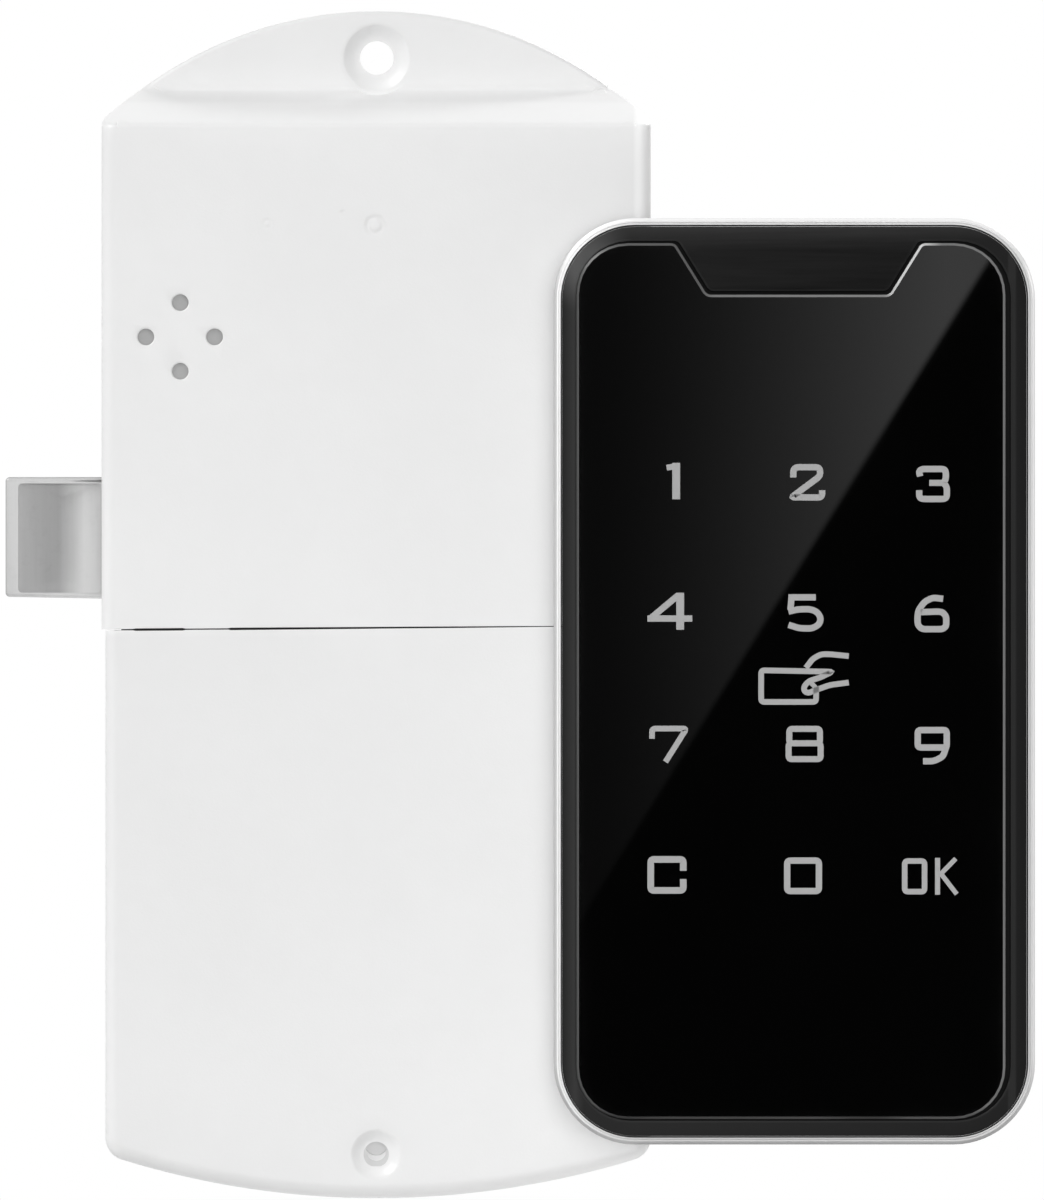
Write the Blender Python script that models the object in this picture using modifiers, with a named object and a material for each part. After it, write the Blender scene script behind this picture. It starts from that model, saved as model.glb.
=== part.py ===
"""Electronic cabinet lock: a battery lock case with a sprung latch, and a touch panel on its fixing posts.

World axes: +X to the right of the case, +Z up, and the door's face is the plane y = 0. Everything stands
out of the door towards -Y, so most sizes here are a depth: the distance from the door's face. The origin
lies on the case's centre line, half-way between its two fixing holes.
"""
import math

import bmesh
import bpy
from mathutils import Matrix, Vector

MM = 0.001

# Clearances, and the lengths that cuts and joins run past their pieces
SEAT_GAP = 0.3 * MM
RUNNING_GAP = 0.3 * MM
OVERRUN = 1.0 * MM
ROOT = 0.4 * MM
WELD = 0.001 * MM
MATCH = 0.01 * MM

# Steps round a curve
FINE_STEPS = 24
ROUND_STEPS = 16
SMALL_STEPS = 10
CORNER_STEPS = 6

# Battery bay: four AA cells side by side
CELL_RADIUS = 7.25 * MM
CELL_LENGTH = 50.5 * MM
CELL_NUB_RADIUS = 2.75 * MM
CELL_NUB = 1.3 * MM
CELL_EDGE = 0.6 * MM
CELL_SPACE = 0.4 * MM
CELL_COUNT = 4
CELL_LIFT = 5.0 * MM
PLATE_THICKNESS = 0.4 * MM
PLATE_SIZE = 10.6 * MM
SPRING_LENGTH = 5.6 * MM
SPRING_WIDE_RADIUS = 4.6 * MM
SPRING_NARROW_RADIUS = 3.0 * MM
SPRING_WIRE_RADIUS = 0.42 * MM
SPRING_TURNS = 3
SPRING_TURN_POINTS = 9
BAY_WALL = 1.6 * MM
BAY_SIDE_WALL = 1.3 * MM
BAY_SIDE_DEPTH = 12.0 * MM
BAY_END_DEPTH = 21.0 * MM
CRADLE_DEPTH = 12.0 * MM
CRADLE_THICKNESS = 2.0 * MM
CRADLE_PLACE_SHARES = (0.27, 0.73)
RAIL_LEDGE_DEPTH = 5.5 * MM
RAIL_LEDGE = 1.5 * MM
RAIL_MARGIN = 4.0 * MM
COVER_BOSS_RADIUS = 3.0 * MM
CELL_PITCH = 2 * CELL_RADIUS + CELL_SPACE
BAY_LENGTH = CELL_LENGTH + SPRING_LENGTH + 2 * PLATE_THICKNESS + 5 * SEAT_GAP
BAY_HALF = CELL_PITCH * (CELL_COUNT - 1) / 2 + CELL_RADIUS + 2 * SEAT_GAP

# What stands one above the other in the upper case
BOLT_ABOVE_SEAM = 11.9 * MM
GEARBOX_GAP = 2.2 * MM
GEARBOX_LENGTH = 9.4 * MM
MOTOR_LENGTH = 15.0 * MM
MOTOR_HEAD_SPACE = 13.2 * MM
DRIVE_STACK = 2 * BOLT_ABOVE_SEAM + GEARBOX_GAP + GEARBOX_LENGTH + SEAT_GAP + MOTOR_LENGTH + MOTOR_HEAD_SPACE

# Lock case, whose width, depth and height follow from what it holds
CASE_WALL = 2.0 * MM
COVER_INSET = 0.5 * MM
RAIL_SPACE = 1.75 * MM
BASE_THICKNESS = 2.0 * MM
CELL_FRONT_SPACE = 3.5 * MM
COVER_FOOT = 12.2 * MM
TOP_HOLE_EDGE = 6.1 * MM
BOTTOM_HOLE_EDGE = 5.7 * MM
TOP_ARC_RADIUS = 51.5 * MM
BOTTOM_ARC_RADIUS = 112.0 * MM
BOTTOM_CORNER_RADIUS = 3.0 * MM
LEAST_CORNER_RADIUS = 0.5 * MM
FACE_EDGE_RADIUS = 1.6 * MM
FLANGE_DEPTH = 3.0 * MM
SLOPE_FOOT_DROP = 10.4 * MM
SLOPE_TOP_DROP = 14.8 * MM
HOUSING_LENGTH = DRIVE_STACK + CASE_WALL + SLOPE_TOP_DROP
CASE_WIDTH = 2 * (BAY_HALF + BAY_SIDE_WALL + RAIL_SPACE + CASE_WALL + COVER_INSET)
CASE_DEPTH = BASE_THICKNESS + CELL_LIFT + 2 * CELL_RADIUS + CELL_FRONT_SPACE + CASE_WALL
CASE_HEIGHT = HOUSING_LENGTH + SEAT_GAP + 2 * BAY_WALL + BAY_LENGTH + COVER_FOOT
HOLE_SPACING = CASE_HEIGHT - TOP_HOLE_EDGE - BOTTOM_HOLE_EDGE
TOP_HOLE_Z = HOLE_SPACING / 2
BOTTOM_HOLE_Z = -HOLE_SPACING / 2
CASE_TOP = TOP_HOLE_Z + TOP_HOLE_EDGE
CASE_BOTTOM = CASE_TOP - CASE_HEIGHT
SEAM_Z = CASE_TOP - HOUSING_LENGTH
COVER_TOP = SEAM_Z - SEAT_GAP
SLOPE_FOOT_Z = CASE_TOP - SLOPE_FOOT_DROP
SLOPE_TOP_Z = CASE_TOP - SLOPE_TOP_DROP
CAVITY_TOP = SLOPE_TOP_Z - CASE_WALL
FACE_INSIDE = CASE_DEPTH - CASE_WALL
BASE_HALF = CASE_WIDTH / 2 - COVER_INSET - CASE_WALL - SEAT_GAP
CELL_DEPTH = BASE_THICKNESS + CELL_LIFT + CELL_RADIUS
BAY_TOP_Z = COVER_TOP - BAY_WALL
BAY_BOTTOM_Z = BAY_TOP_Z - BAY_LENGTH
RAIL_TOP_Z = BAY_TOP_Z - RAIL_MARGIN
RAIL_BOTTOM_Z = BAY_BOTTOM_Z + RAIL_MARGIN

# Holes in the case
FIXING_HOLE_RADIUS = 2.2 * MM
FIXING_SINK_RADIUS = 4.25 * MM
FIXING_SINK_DEPTH = 1.6 * MM
COVER_HOLE_RADIUS = 1.6 * MM
COVER_SINK_RADIUS = 3.15 * MM
COVER_SINK_DEPTH = 1.2 * MM
SINK_SHOULDER = 0.15 * MM
SOUND_HOLE_RADIUS = 1.08 * MM
SOUND_HOLE_SPREAD = 4.47 * MM
SOUND_EDGE = 10.25 * MM
SOUND_DROP = 27.9 * MM
BUZZER_RADIUS = 6.5 * MM
BUZZER_DEPTH = 5.0 * MM
BUZZER_RIM_WALL = 0.9 * MM
BUZZER_RIM_DEPTH = 3.6 * MM
SOUND_X = SOUND_EDGE - CASE_WIDTH / 2
SOUND_Z = SLOPE_TOP_Z - SOUND_DROP

# Latch: a hollow-faced tongue, the sled that draws it back, and the spring between them
BOLT_HEIGHT = 15.8 * MM
BOLT_THICKNESS = 10.1 * MM
BOLT_THROW = 12.4 * MM
BOLT_LIP = 0.25 * MM
BOLT_EDGE_RADIUS = 0.5 * MM
TAIL_LENGTH = 14.0 * MM
TAIL_WING = 1.4 * MM
HEAD_INSIDE = 7.75 * MM
SCOOP_TIP_RIM = 1.65 * MM
SCOOP_SIDE_RIM = 0.9 * MM
SCOOP_DEPTH = 2.2 * MM
SCOOP_HALF = (BOLT_THROW - SCOOP_TIP_RIM) / 2
SCOOP_RADIUS = (SCOOP_HALF ** 2 + SCOOP_DEPTH ** 2) / (2 * SCOOP_DEPTH)
SLED_FRONT_WALL = 1.7 * MM
SLED_REAR_WALL = 2.5 * MM
SLED_PLATE = 1.15 * MM
SPRING_SPACE = 19.0 * MM
BOLT_Z = SEAM_Z + BOLT_ABOVE_SEAM
BOLT_BACK = BASE_THICKNESS + SEAT_GAP
BOLT_FRONT = BOLT_BACK + BOLT_THICKNESS
BOLT_TIP_X = -CASE_WIDTH / 2 - BOLT_LIP - BOLT_THROW
TAIL_START_X = -CASE_WIDTH / 2 + HEAD_INSIDE
TAIL_END_X = TAIL_START_X + TAIL_LENGTH
SLED_HALF = BOLT_ABOVE_SEAM
SLED_START_X = TAIL_START_X - RUNNING_GAP - SLED_FRONT_WALL
SLED_HOLLOW_END_X = TAIL_END_X + SPRING_SPACE
SLED_END_X = SLED_HOLLOW_END_X + SLED_REAR_WALL
SLED_CEILING = BOLT_FRONT + RUNNING_GAP
SLED_FACE = SLED_CEILING + SLED_PLATE

# Rack on the sled's face, and the pinion that drives it
GEAR_MODULE = 0.6 * MM
PINION_TEETH = 12
TIP_SHARE = 1.0
ROOT_SHARE = 1.25
TOOTH_TIP_SHARE = 0.24
TOOTH_PITCH_SHARE = 0.38
TOOTH_ROOT_SHARE = 0.62
PINION_CLEARANCE = 0.1 * MM
PINION_WIDTH = 5.0 * MM
RACK_MARGIN = 0.5 * MM
RACK_SPARE_TEETH = 1
PINION_EDGE = 26.75 * MM
PINION_X = PINION_EDGE - CASE_WIDTH / 2
PINION_RADIUS = GEAR_MODULE * PINION_TEETH / 2
TOOTH_PITCH = math.pi * GEAR_MODULE
RACK_PITCH_DEPTH = SLED_FACE + ROOT_SHARE * GEAR_MODULE
DRIVE_DEPTH = RACK_PITCH_DEPTH + PINION_RADIUS + PINION_CLEARANCE
PINION_TOP_Z = BOLT_Z + SLED_HALF - RACK_MARGIN
PINION_BOTTOM_Z = PINION_TOP_Z - PINION_WIDTH

# Gear motor, its strap and the strap's screws
SHAFT_RADIUS = 1.5 * MM
SHAFT_BORE_GAP = 0.3 * MM
GEARBOX_WIDTH = 12.0 * MM
GEARBOX_DEPTH = 10.0 * MM
MOTOR_RADIUS = 5.9 * MM
MOTOR_FLAT = 4.9 * MM
STRAP_THICKNESS = 0.8 * MM
STRAP_WIDTH = 6.0 * MM
STRAP_FOOT = 6.2 * MM
STRAP_FOOT_DEPTH = 14.2 * MM
GEARBOX_BOTTOM_Z = BOLT_Z + SLED_HALF + GEARBOX_GAP
GEARBOX_TOP_Z = GEARBOX_BOTTOM_Z + GEARBOX_LENGTH
STRAP_Z = (GEARBOX_BOTTOM_Z + GEARBOX_TOP_Z) / 2

# Screws: small pan heads with plain shanks
SCREW_RADIUS = 0.9 * MM
SCREW_HEAD_RADIUS = 1.8 * MM
SCREW_HEAD_DEPTH = 1.0 * MM
SCREW_LENGTH = 6.0 * MM
PILOT_DEPTH = 7.0 * MM
BOSS_RADIUS = 2.75 * MM
BOSS_EDGE = 5.75 * MM
BOSS_HIGH_DROP = 4.8 * MM
BOSS_ABOVE_SLED = 3.3 * MM
BOSS_ABOVE_SEAM = 5.1 * MM
BOSS_X = CASE_WIDTH / 2 - BOSS_EDGE
BOSS_HIGH_Z = CAVITY_TOP - BOSS_HIGH_DROP
BOSS_LOW_LEFT_Z = BOLT_Z + SLED_HALF + BOSS_ABOVE_SLED
BOSS_LOW_RIGHT_Z = SEAM_Z + BOSS_ABOVE_SEAM

# Main board and what stands on it
BOARD_THICKNESS = 1.6 * MM
BOARD_ABOVE_SLED = 3.35 * MM
BOARD_EDGE_SPACE = 0.55 * MM
BOARD_PINION_SPACE = 12.0 * MM
BOARD_FOOT_SPACE = 3.0 * MM
BOARD_HEAD_SPACE = 2.8 * MM
BOARD_BACK = SLED_FACE + BOARD_ABOVE_SLED
BOARD_LEFT_X = PINION_X + BOARD_PINION_SPACE
BOARD_RIGHT_X = BOSS_X - BOSS_RADIUS - BOARD_EDGE_SPACE
BOARD_BOTTOM_Z = COVER_TOP + BOARD_FOOT_SPACE
BOARD_TOP_Z = CAVITY_TOP - BOARD_HEAD_SPACE
BOARD_MIDDLE_X = (BOARD_LEFT_X + BOARD_RIGHT_X) / 2
POST_RADIUS = 2.0 * MM
POST_PIN_RADIUS = 0.8 * MM
POST_INSET = 2.5 * MM
BOARD_FRONT = BOARD_BACK + BOARD_THICKNESS
CHIP_SIZE = 7.0 * MM
CHIP_DEPTH = 1.2 * MM
CAPACITOR_RADIUS = 3.1 * MM
CAPACITOR_LENGTH = 8.0 * MM
SOCKET_WIDTH = 9.0 * MM
SOCKET_HEIGHT = 5.0 * MM
SOCKET_DEPTH = 5.5 * MM
SOCKET_SLOT = 1.0 * MM
MOTOR_SOCKET_WIDTH = 6.0 * MM
SENSOR_WIDTH = 3.6 * MM
SENSOR_HEIGHT = 6.0 * MM
SENSOR_DEPTH = 5.0 * MM
SENSOR_INSET = 2.7 * MM
POST_ABOVE_SLED = 4.3 * MM
CHIP_DROP = 28.0 * MM
CAPACITOR_DROP = 6.0 * MM
MOTOR_SOCKET_DROP = 13.0 * MM
GROMMET_DROP = 17.0 * MM
CHIP_Z = BOARD_TOP_Z - CHIP_DROP
CAPACITOR_Z = BOARD_TOP_Z - CAPACITOR_DROP
CABLE_SOCKET_Z = CHIP_Z
MOTOR_SOCKET_Z = BOARD_TOP_Z - MOTOR_SOCKET_DROP
SENSOR_X = BOARD_RIGHT_X - SENSOR_INSET
POST_LEFT_LOW_Z = BOLT_Z + SLED_HALF + POST_ABOVE_SLED
GROMMET_X = BOARD_MIDDLE_X
GROMMET_Z = BOARD_TOP_Z - GROMMET_DROP
SET_X = BOARD_MIDDLE_X

# Set key: a plunger that a pin reaches from the battery bay
SET_RADIUS = 1.4 * MM
SET_TRAVEL = 0.5 * MM
SET_REACH = 0.6 * MM
SET_COLLAR_RADIUS = 2.2 * MM
SET_COLLAR = 0.8 * MM
SET_SWITCH_SIZE = 6.0 * MM
SET_SWITCH_DEPTH = 3.6 * MM
SET_DEPTH = BOARD_FRONT + SEAT_GAP + SET_SWITCH_DEPTH / 2
SET_SWITCH_Z = BOARD_BOTTOM_Z + SET_TRAVEL + SEAT_GAP + SET_COLLAR

# Cable hole in the base, with its grommet
GROMMET_BORE = 5.0 * MM
GROMMET_WALL = 1.6 * MM
GROMMET_FLANGE = 1.6 * MM
GROMMET_LIP = 1.0 * MM
CABLE_HOLE_RADIUS = GROMMET_BORE + GROMMET_WALL + SEAT_GAP

# Latch spring
LATCH_SPRING_RADIUS = 3.0 * MM
LATCH_WIRE_RADIUS = 0.4 * MM
LATCH_SPRING_TURNS = 6
LATCH_PEG_RADIUS = 1.6 * MM
LATCH_PEG_LENGTH = 4.0 * MM

# Touch panel
PANEL_WIDTH = 62.5 * MM
PANEL_HEIGHT = 120.3 * MM
PANEL_DEPTH = 13.0 * MM
PANEL_RADIUS = 10.6 * MM
PANEL_OVERLAP = 12.65 * MM
PANEL_DROP = 27.35 * MM
FRAME_RIM = 0.95 * MM
FRAME_EDGE_RADIUS = 0.35 * MM
BEZEL_STEP = 0.2 * MM
LEDGE = 2.0 * MM
BEZEL_SIDE = 3.1 * MM
BEZEL_END = 3.3 * MM
BEZEL_CORNER = 3.6 * MM
GLASS_SIDE_GAP = 0.6 * MM
GLASS_END_GAP = 0.3 * MM
GLASS_THICKNESS = 1.1 * MM
GLASS_STEP = 0.4 * MM
GLASS_SHIFT = -0.2 * MM
GLASS_CHAMFER = 0.25 * MM
NOTCH_SHIFT = 0.6 * MM
NOTCH_TOP = 31.0 * MM
NOTCH_BOTTOM = 23.3 * MM
NOTCH_DEPTH = 6.4 * MM
FILM_THICKNESS = 0.3 * MM
TOUCH_BOARD_THICKNESS = 1.2 * MM
LED_SPACE = 1.3 * MM
BACKPLATE_THICKNESS = 1.8 * MM
BACKPLATE_STEP = 0.2 * MM
GASKET_THICKNESS = 0.4 * MM
GASKET_WIDTH = 2.4 * MM
GASKET_INSET = 2.6 * MM
PANEL_X = CASE_WIDTH / 2 - PANEL_OVERLAP + PANEL_WIDTH / 2
PANEL_Z = CASE_TOP - PANEL_DROP - PANEL_HEIGHT / 2
RECESS_WIDTH = PANEL_WIDTH - 2 * BEZEL_SIDE
RECESS_HEIGHT = PANEL_HEIGHT - 2 * BEZEL_END
RECESS_RADIUS = PANEL_RADIUS - BEZEL_CORNER
GLASS_WIDTH = RECESS_WIDTH - 2 * GLASS_SIDE_GAP
GLASS_HEIGHT = RECESS_HEIGHT - 2 * GLASS_END_GAP
GLASS_RADIUS = RECESS_RADIUS - (GLASS_SIDE_GAP + GLASS_END_GAP) / 2
PANEL_BACK = CASE_DEPTH + SEAT_GAP
PANEL_FRONT = PANEL_BACK + PANEL_DEPTH
GLASS_FRONT = PANEL_FRONT - GLASS_STEP
GLASS_BACK = GLASS_FRONT - GLASS_THICKNESS
LEDGE_FRONT = GLASS_BACK - SEAT_GAP
FILM_BACK = LEDGE_FRONT - FILM_THICKNESS
TOUCH_BOARD_FRONT = FILM_BACK - LED_SPACE
TOUCH_BOARD_BACK = TOUCH_BOARD_FRONT - TOUCH_BOARD_THICKNESS
FRAME_BACK = PANEL_BACK + GASKET_THICKNESS + BACKPLATE_STEP
BACKPLATE_BACK = PANEL_BACK + GASKET_THICKNESS + SEAT_GAP
BACKPLATE_FRONT = BACKPLATE_BACK + BACKPLATE_THICKNESS
PANEL_BOSS_RADIUS = 2.3 * MM
PANEL_BOSS_SIDE = 7.85 * MM
PANEL_BOSS_END = 8.55 * MM
PANEL_BOSS_X = PANEL_WIDTH / 2 - PANEL_BOSS_SIDE
PANEL_BOSS_Z = PANEL_HEIGHT / 2 - PANEL_BOSS_END
TOUCH_BOARD_END = 11.65 * MM
TOUCH_BOARD_HEIGHT = PANEL_HEIGHT - 2 * TOUCH_BOARD_END
BOARD_POST_X = 12.0 * MM
BOARD_POST_Z = 30.0 * MM
ANTENNA_BAND = 2.4 * MM
ANTENNA_SIDE = 5.15 * MM
ANTENNA_END = 3.5 * MM
ANTENNA_WIDTH = RECESS_WIDTH - 2 * ANTENNA_SIDE
ANTENNA_HEIGHT = TOUCH_BOARD_HEIGHT - 2 * ANTENNA_END
ANTENNA_DEPTH = 0.6 * MM
LED_WIDTH = 3.5 * MM
LED_HEIGHT = 1.6 * MM
LED_DEPTH = 0.7 * MM
LED_END = 4.5 * MM
LED_Z = TOUCH_BOARD_HEIGHT / 2 - LED_END
PANEL_SOCKET_Z = -15.0 * MM

# Panel fixings: the cable bush and the two threaded posts
BUSH_BORE = 4.6 * MM
BUSH_WALL = 1.8 * MM
BUSH_LENGTH = 6.5 * MM
BUSH_FLANGE = 1.6 * MM
BUSH_LIP = 1.0 * MM
PANEL_POST_RADIUS = 3.5 * MM
PANEL_POST_SPACING = 76.0 * MM
PANEL_POST_BORE = 1.65 * MM
PANEL_POST_BORE_LENGTH = 14.0 * MM
PANEL_STUD_RADIUS = 1.9 * MM
PANEL_STUD_LENGTH = 4.2 * MM
BUSH_HOLE_RADIUS = BUSH_BORE + BUSH_WALL + SEAT_GAP

# Shading
SHARP_ANGLE = math.radians(35)
FLAT_ANGLE = math.radians(0.1)
WEIGHT_NAME = "bevel_weight_edge"
EDGE_STEPS = 3

# Drawing planes for flat outlines: from the front (x, z), from the side (depth, z), from above (x, depth)
FACE_ON = Matrix(((1, 0, 0, 0), (0, 0, -1, 0), (0, 1, 0, 0), (0, 0, 0, 1)))
SIDE_ON = Matrix(((0, 0, -1, 0), (-1, 0, 0, 0), (0, 1, 0, 0), (0, 0, 0, 1)))
TOP_ON = Matrix(((1, 0, 0, 0), (0, -1, 0, 0), (0, 0, -1, 0), (0, 0, 0, 1)))
ALONG = {
    "X": Matrix.Rotation(math.pi / 2, 4, "Y"),
    "Y": Matrix.Rotation(math.pi / 2, 4, "X"),
    "Z": Matrix.Identity(4),
}

# Colour, roughness and metallic value of each material
MATERIALS = {
    "white_case": ((0.80, 0.80, 0.79), 0.42, 0.0),
    "base_plastic": ((0.72, 0.72, 0.71), 0.5, 0.0),
    "cast_zinc": ((0.56, 0.56, 0.56), 0.38, 1.0),
    "sled_plastic": ((0.70, 0.71, 0.70), 0.45, 0.0),
    "spring_steel": ((0.60, 0.60, 0.60), 0.3, 1.0),
    "motor_steel": ((0.62, 0.62, 0.63), 0.3, 1.0),
    "gear_brass": ((0.72, 0.55, 0.24), 0.32, 1.0),
    "nickel_plate": ((0.66, 0.65, 0.62), 0.28, 1.0),
    "circuit_green": ((0.02, 0.16, 0.07), 0.4, 0.0),
    "chip_black": ((0.02, 0.02, 0.02), 0.5, 0.0),
    "socket_white": ((0.75, 0.74, 0.69), 0.45, 0.0),
    "buzzer_grey": ((0.36, 0.36, 0.36), 0.5, 0.0),
    "rubber_black": ((0.025, 0.025, 0.025), 0.75, 0.0),
    "cell_wrap": ((0.10, 0.16, 0.24), 0.35, 0.0),
    "frame_silver": ((0.80, 0.80, 0.81), 0.25, 0.9),
    "bezel_black": ((0.016, 0.016, 0.017), 0.38, 0.0),
    "touch_glass": ((0.004, 0.004, 0.005), 0.05, 0.0),
    "legend_white": ((0.62, 0.62, 0.62), 0.5, 0.0),
    "antenna_copper": ((0.72, 0.36, 0.18), 0.35, 1.0),
    "back_black": ((0.02, 0.02, 0.02), 0.55, 0.0),
    "post_brass": ((0.70, 0.56, 0.30), 0.3, 1.0),
}


def clear_scene():
    for obj in list(bpy.data.objects):
        bpy.data.objects.remove(obj, do_unlink=True)


def new_collection(name):
    collection = bpy.data.collections.new(name)
    bpy.context.scene.collection.children.link(collection)
    return collection


clear_scene()
LOCK = new_collection("electronic_cabinet_lock")
CUTTERS = new_collection("cutters")


def at(x, depth, z):
    """A world point from its side position, its depth in front of the door's face, and its height."""
    return Vector((x, -depth, z))


def add_object(name, mesh, matrix=None):
    obj = bpy.data.objects.new(name, mesh)
    obj.matrix_world = matrix or Matrix.Identity(4)
    LOCK.objects.link(obj)
    return obj


def paint(obj, name):
    material = bpy.data.materials.get(name)
    if material is None:
        colour, roughness, metallic = MATERIALS[name]
        material = bpy.data.materials.new(name)
        material.use_nodes = True
        shader = material.node_tree.nodes["Principled BSDF"]
        shader.inputs["Base Color"].default_value = (*colour, 1.0)
        shader.inputs["Roughness"].default_value = roughness
        shader.inputs["Metallic"].default_value = metallic
    obj.data.materials.append(material)
    obj.data.shade_smooth()
    obj.data.set_sharp_from_angle(angle=SHARP_ANGLE)
    return obj


def meshed(draft):
    """Turn a drafted curve object into a closed mesh object in the same place."""
    evaluated = draft.evaluated_get(bpy.context.evaluated_depsgraph_get())
    mesh = bpy.data.meshes.new_from_object(evaluated)
    shape = bmesh.new()
    shape.from_mesh(mesh)
    bmesh.ops.remove_doubles(shape, verts=shape.verts, dist=WELD)
    bmesh.ops.dissolve_limit(shape, angle_limit=FLAT_ANGLE, verts=shape.verts, edges=shape.edges)
    shape.to_mesh(mesh)
    shape.free()
    solid = add_object(draft.name, mesh, draft.matrix_world.copy())
    name = draft.name
    bpy.data.objects.remove(draft, do_unlink=True)
    solid.name = name
    return solid


def extruded(name, outlines, thickness, matrix):
    """A flat outline, with any further outlines as holes in it, given a thickness both ways."""
    curve = bpy.data.curves.new(name, "CURVE")
    curve.dimensions = "2D"
    curve.fill_mode = "BOTH"
    curve.extrude = thickness / 2
    for outline in outlines:
        spline = curve.splines.new("POLY")
        spline.points.add(len(outline) - 1)
        for point, (u, v) in zip(spline.points, outline):
            point.co = (u, v, 0, 1)
        spline.use_cyclic_u = True
    draft = bpy.data.objects.new(name, curve)
    draft.matrix_world = matrix
    LOCK.objects.link(draft)
    bpy.context.view_layer.update()
    return meshed(draft)


def slab(name, outline, back, front, hole=None):
    """An outline in x and z, from the depth of its back to the depth of its front."""
    outlines = [outline] if hole is None else [outline, hole]
    matrix = Matrix.Translation(at(0, (back + front) / 2, 0)) @ FACE_ON
    return extruded(name, outlines, front - back, matrix)


def prism(name, profile, left, right):
    """A profile in depth and z, carried from left to right."""
    matrix = Matrix.Translation(at((left + right) / 2, 0, 0)) @ SIDE_ON
    return extruded(name, [profile], right - left, matrix)


def strip(name, profile, bottom, top):
    """A profile in x and depth, carried from bottom to top."""
    matrix = Matrix.Translation(at(0, 0, (bottom + top) / 2)) @ TOP_ON
    return extruded(name, [profile], top - bottom, matrix)


def block(name, left, right, back, front, bottom, top):
    """A box between two sides, two depths and two heights."""
    shape = bmesh.new()
    size = Matrix.Diagonal((right - left, front - back, top - bottom, 1))
    bmesh.ops.create_cube(shape, size=1, matrix=size)
    mesh = bpy.data.meshes.new(name)
    shape.to_mesh(mesh)
    shape.free()
    middle = at((left + right) / 2, (back + front) / 2, (bottom + top) / 2)
    return add_object(name, mesh, Matrix.Translation(middle))


def rod(name, centre, axis, radius, length, steps=ROUND_STEPS, far_radius=None):
    """A cylinder, or a cone whose far radius is its end's towards +X, -Y or +Z."""
    shape = bmesh.new()
    bmesh.ops.create_cone(shape, cap_ends=True, segments=steps, radius1=radius,
                          radius2=radius if far_radius is None else far_radius, depth=length)
    mesh = bpy.data.meshes.new(name)
    shape.to_mesh(mesh)
    shape.free()
    return add_object(name, mesh, Matrix.Translation(centre) @ ALONG[axis])


def countersink(name, mouth, hole_radius, sink_radius, sink_depth):
    """A cone for a screw's head, from past the face down to a narrow shoulder round the hole."""
    floor_radius = hole_radius + SINK_SHOULDER
    slope = (sink_radius - floor_radius) / sink_depth
    centre = mouth + at(0, (OVERRUN - sink_depth) / 2, 0)
    mouth_radius = sink_radius + slope * OVERRUN
    return rod(name, centre, "Y", floor_radius, sink_depth + OVERRUN, FINE_STEPS, mouth_radius)


def turned(name, profile, centre, axis, steps=ROUND_STEPS):
    """A profile of (radius, height) points, listed from top to bottom, turned about its own axis."""
    mesh = bpy.data.meshes.new(name)
    points = [(radius, 0, height) for radius, height in profile]
    closed = profile[0][0] > 0
    edges = [(i, i + 1) for i in range(len(points) - 1)]
    if closed:
        edges.append((len(points) - 1, 0))
    mesh.from_pydata(points, edges, [])
    obj = add_object(name, mesh, Matrix.Translation(centre) @ ALONG[axis])
    screw = obj.modifiers.new("Turn", "SCREW")
    screw.steps = steps
    screw.render_steps = steps
    screw.use_merge_vertices = True
    screw.merge_threshold = MATCH
    screw.use_smooth_shade = True
    return obj


def coil(name, centre, axis, radii, length, turns, wire):
    """A compression spring whose radius goes evenly from the first value to the second."""
    count = turns * SPRING_TURN_POINTS + 1
    curve = bpy.data.curves.new(name, "CURVE")
    curve.dimensions = "3D"
    curve.bevel_depth = wire
    curve.bevel_resolution = 1
    curve.use_fill_caps = True
    spline = curve.splines.new("POLY")
    spline.points.add(count - 1)
    pitch_length = length - 2 * wire
    for i, point in enumerate(spline.points):
        share = i / (count - 1)
        angle = math.tau * turns * share
        radius = radii[0] + (radii[1] - radii[0]) * share
        height = (share - 0.5) * pitch_length
        point.co = (radius * math.cos(angle), radius * math.sin(angle), height, 1)
    draft = bpy.data.objects.new(name, curve)
    draft.matrix_world = Matrix.Translation(centre) @ ALONG[axis]
    LOCK.objects.link(draft)
    bpy.context.view_layer.update()
    return meshed(draft)


def combine(obj, tool, operation):
    """Cut a tool from an object or join it on, and put the tool away with the cutters."""
    LOCK.objects.unlink(tool)
    CUTTERS.objects.link(tool)
    tool.hide_render = True
    tool.display_type = "WIRE"
    modifier = obj.modifiers.new(tool.name, "BOOLEAN")
    modifier.operation = operation
    modifier.object = tool
    return obj


def cut(obj, *tools):
    for tool in tools:
        combine(obj, tool, "DIFFERENCE")


def join(obj, *tools):
    for tool in tools:
        combine(obj, tool, "UNION")


def soften(obj, width, chosen, steps=EDGE_STEPS):
    """Round the sharp edges whose ends and middle, in the world, the chosen test picks."""
    mesh = obj.data
    weights = mesh.attributes.new(WEIGHT_NAME, "FLOAT", "EDGE")
    shape = bmesh.new()
    shape.from_mesh(mesh)
    shape.normal_update()
    for edge in shape.edges:
        first, last = (obj.matrix_world @ vert.co for vert in edge.verts)
        places = (first, last, (first + last) / 2)
        if edge.calc_face_angle(0) > SHARP_ANGLE and all(chosen(place) for place in places):
            weights.data[edge.index].value = 1.0
    shape.free()
    bevel = obj.modifiers.new("Soft edges", "BEVEL")
    bevel.limit_method = "WEIGHT"
    bevel.width = width
    bevel.segments = steps
    bevel.use_clamp_overlap = False


def near(value, target):
    return abs(value - target) < MATCH


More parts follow.
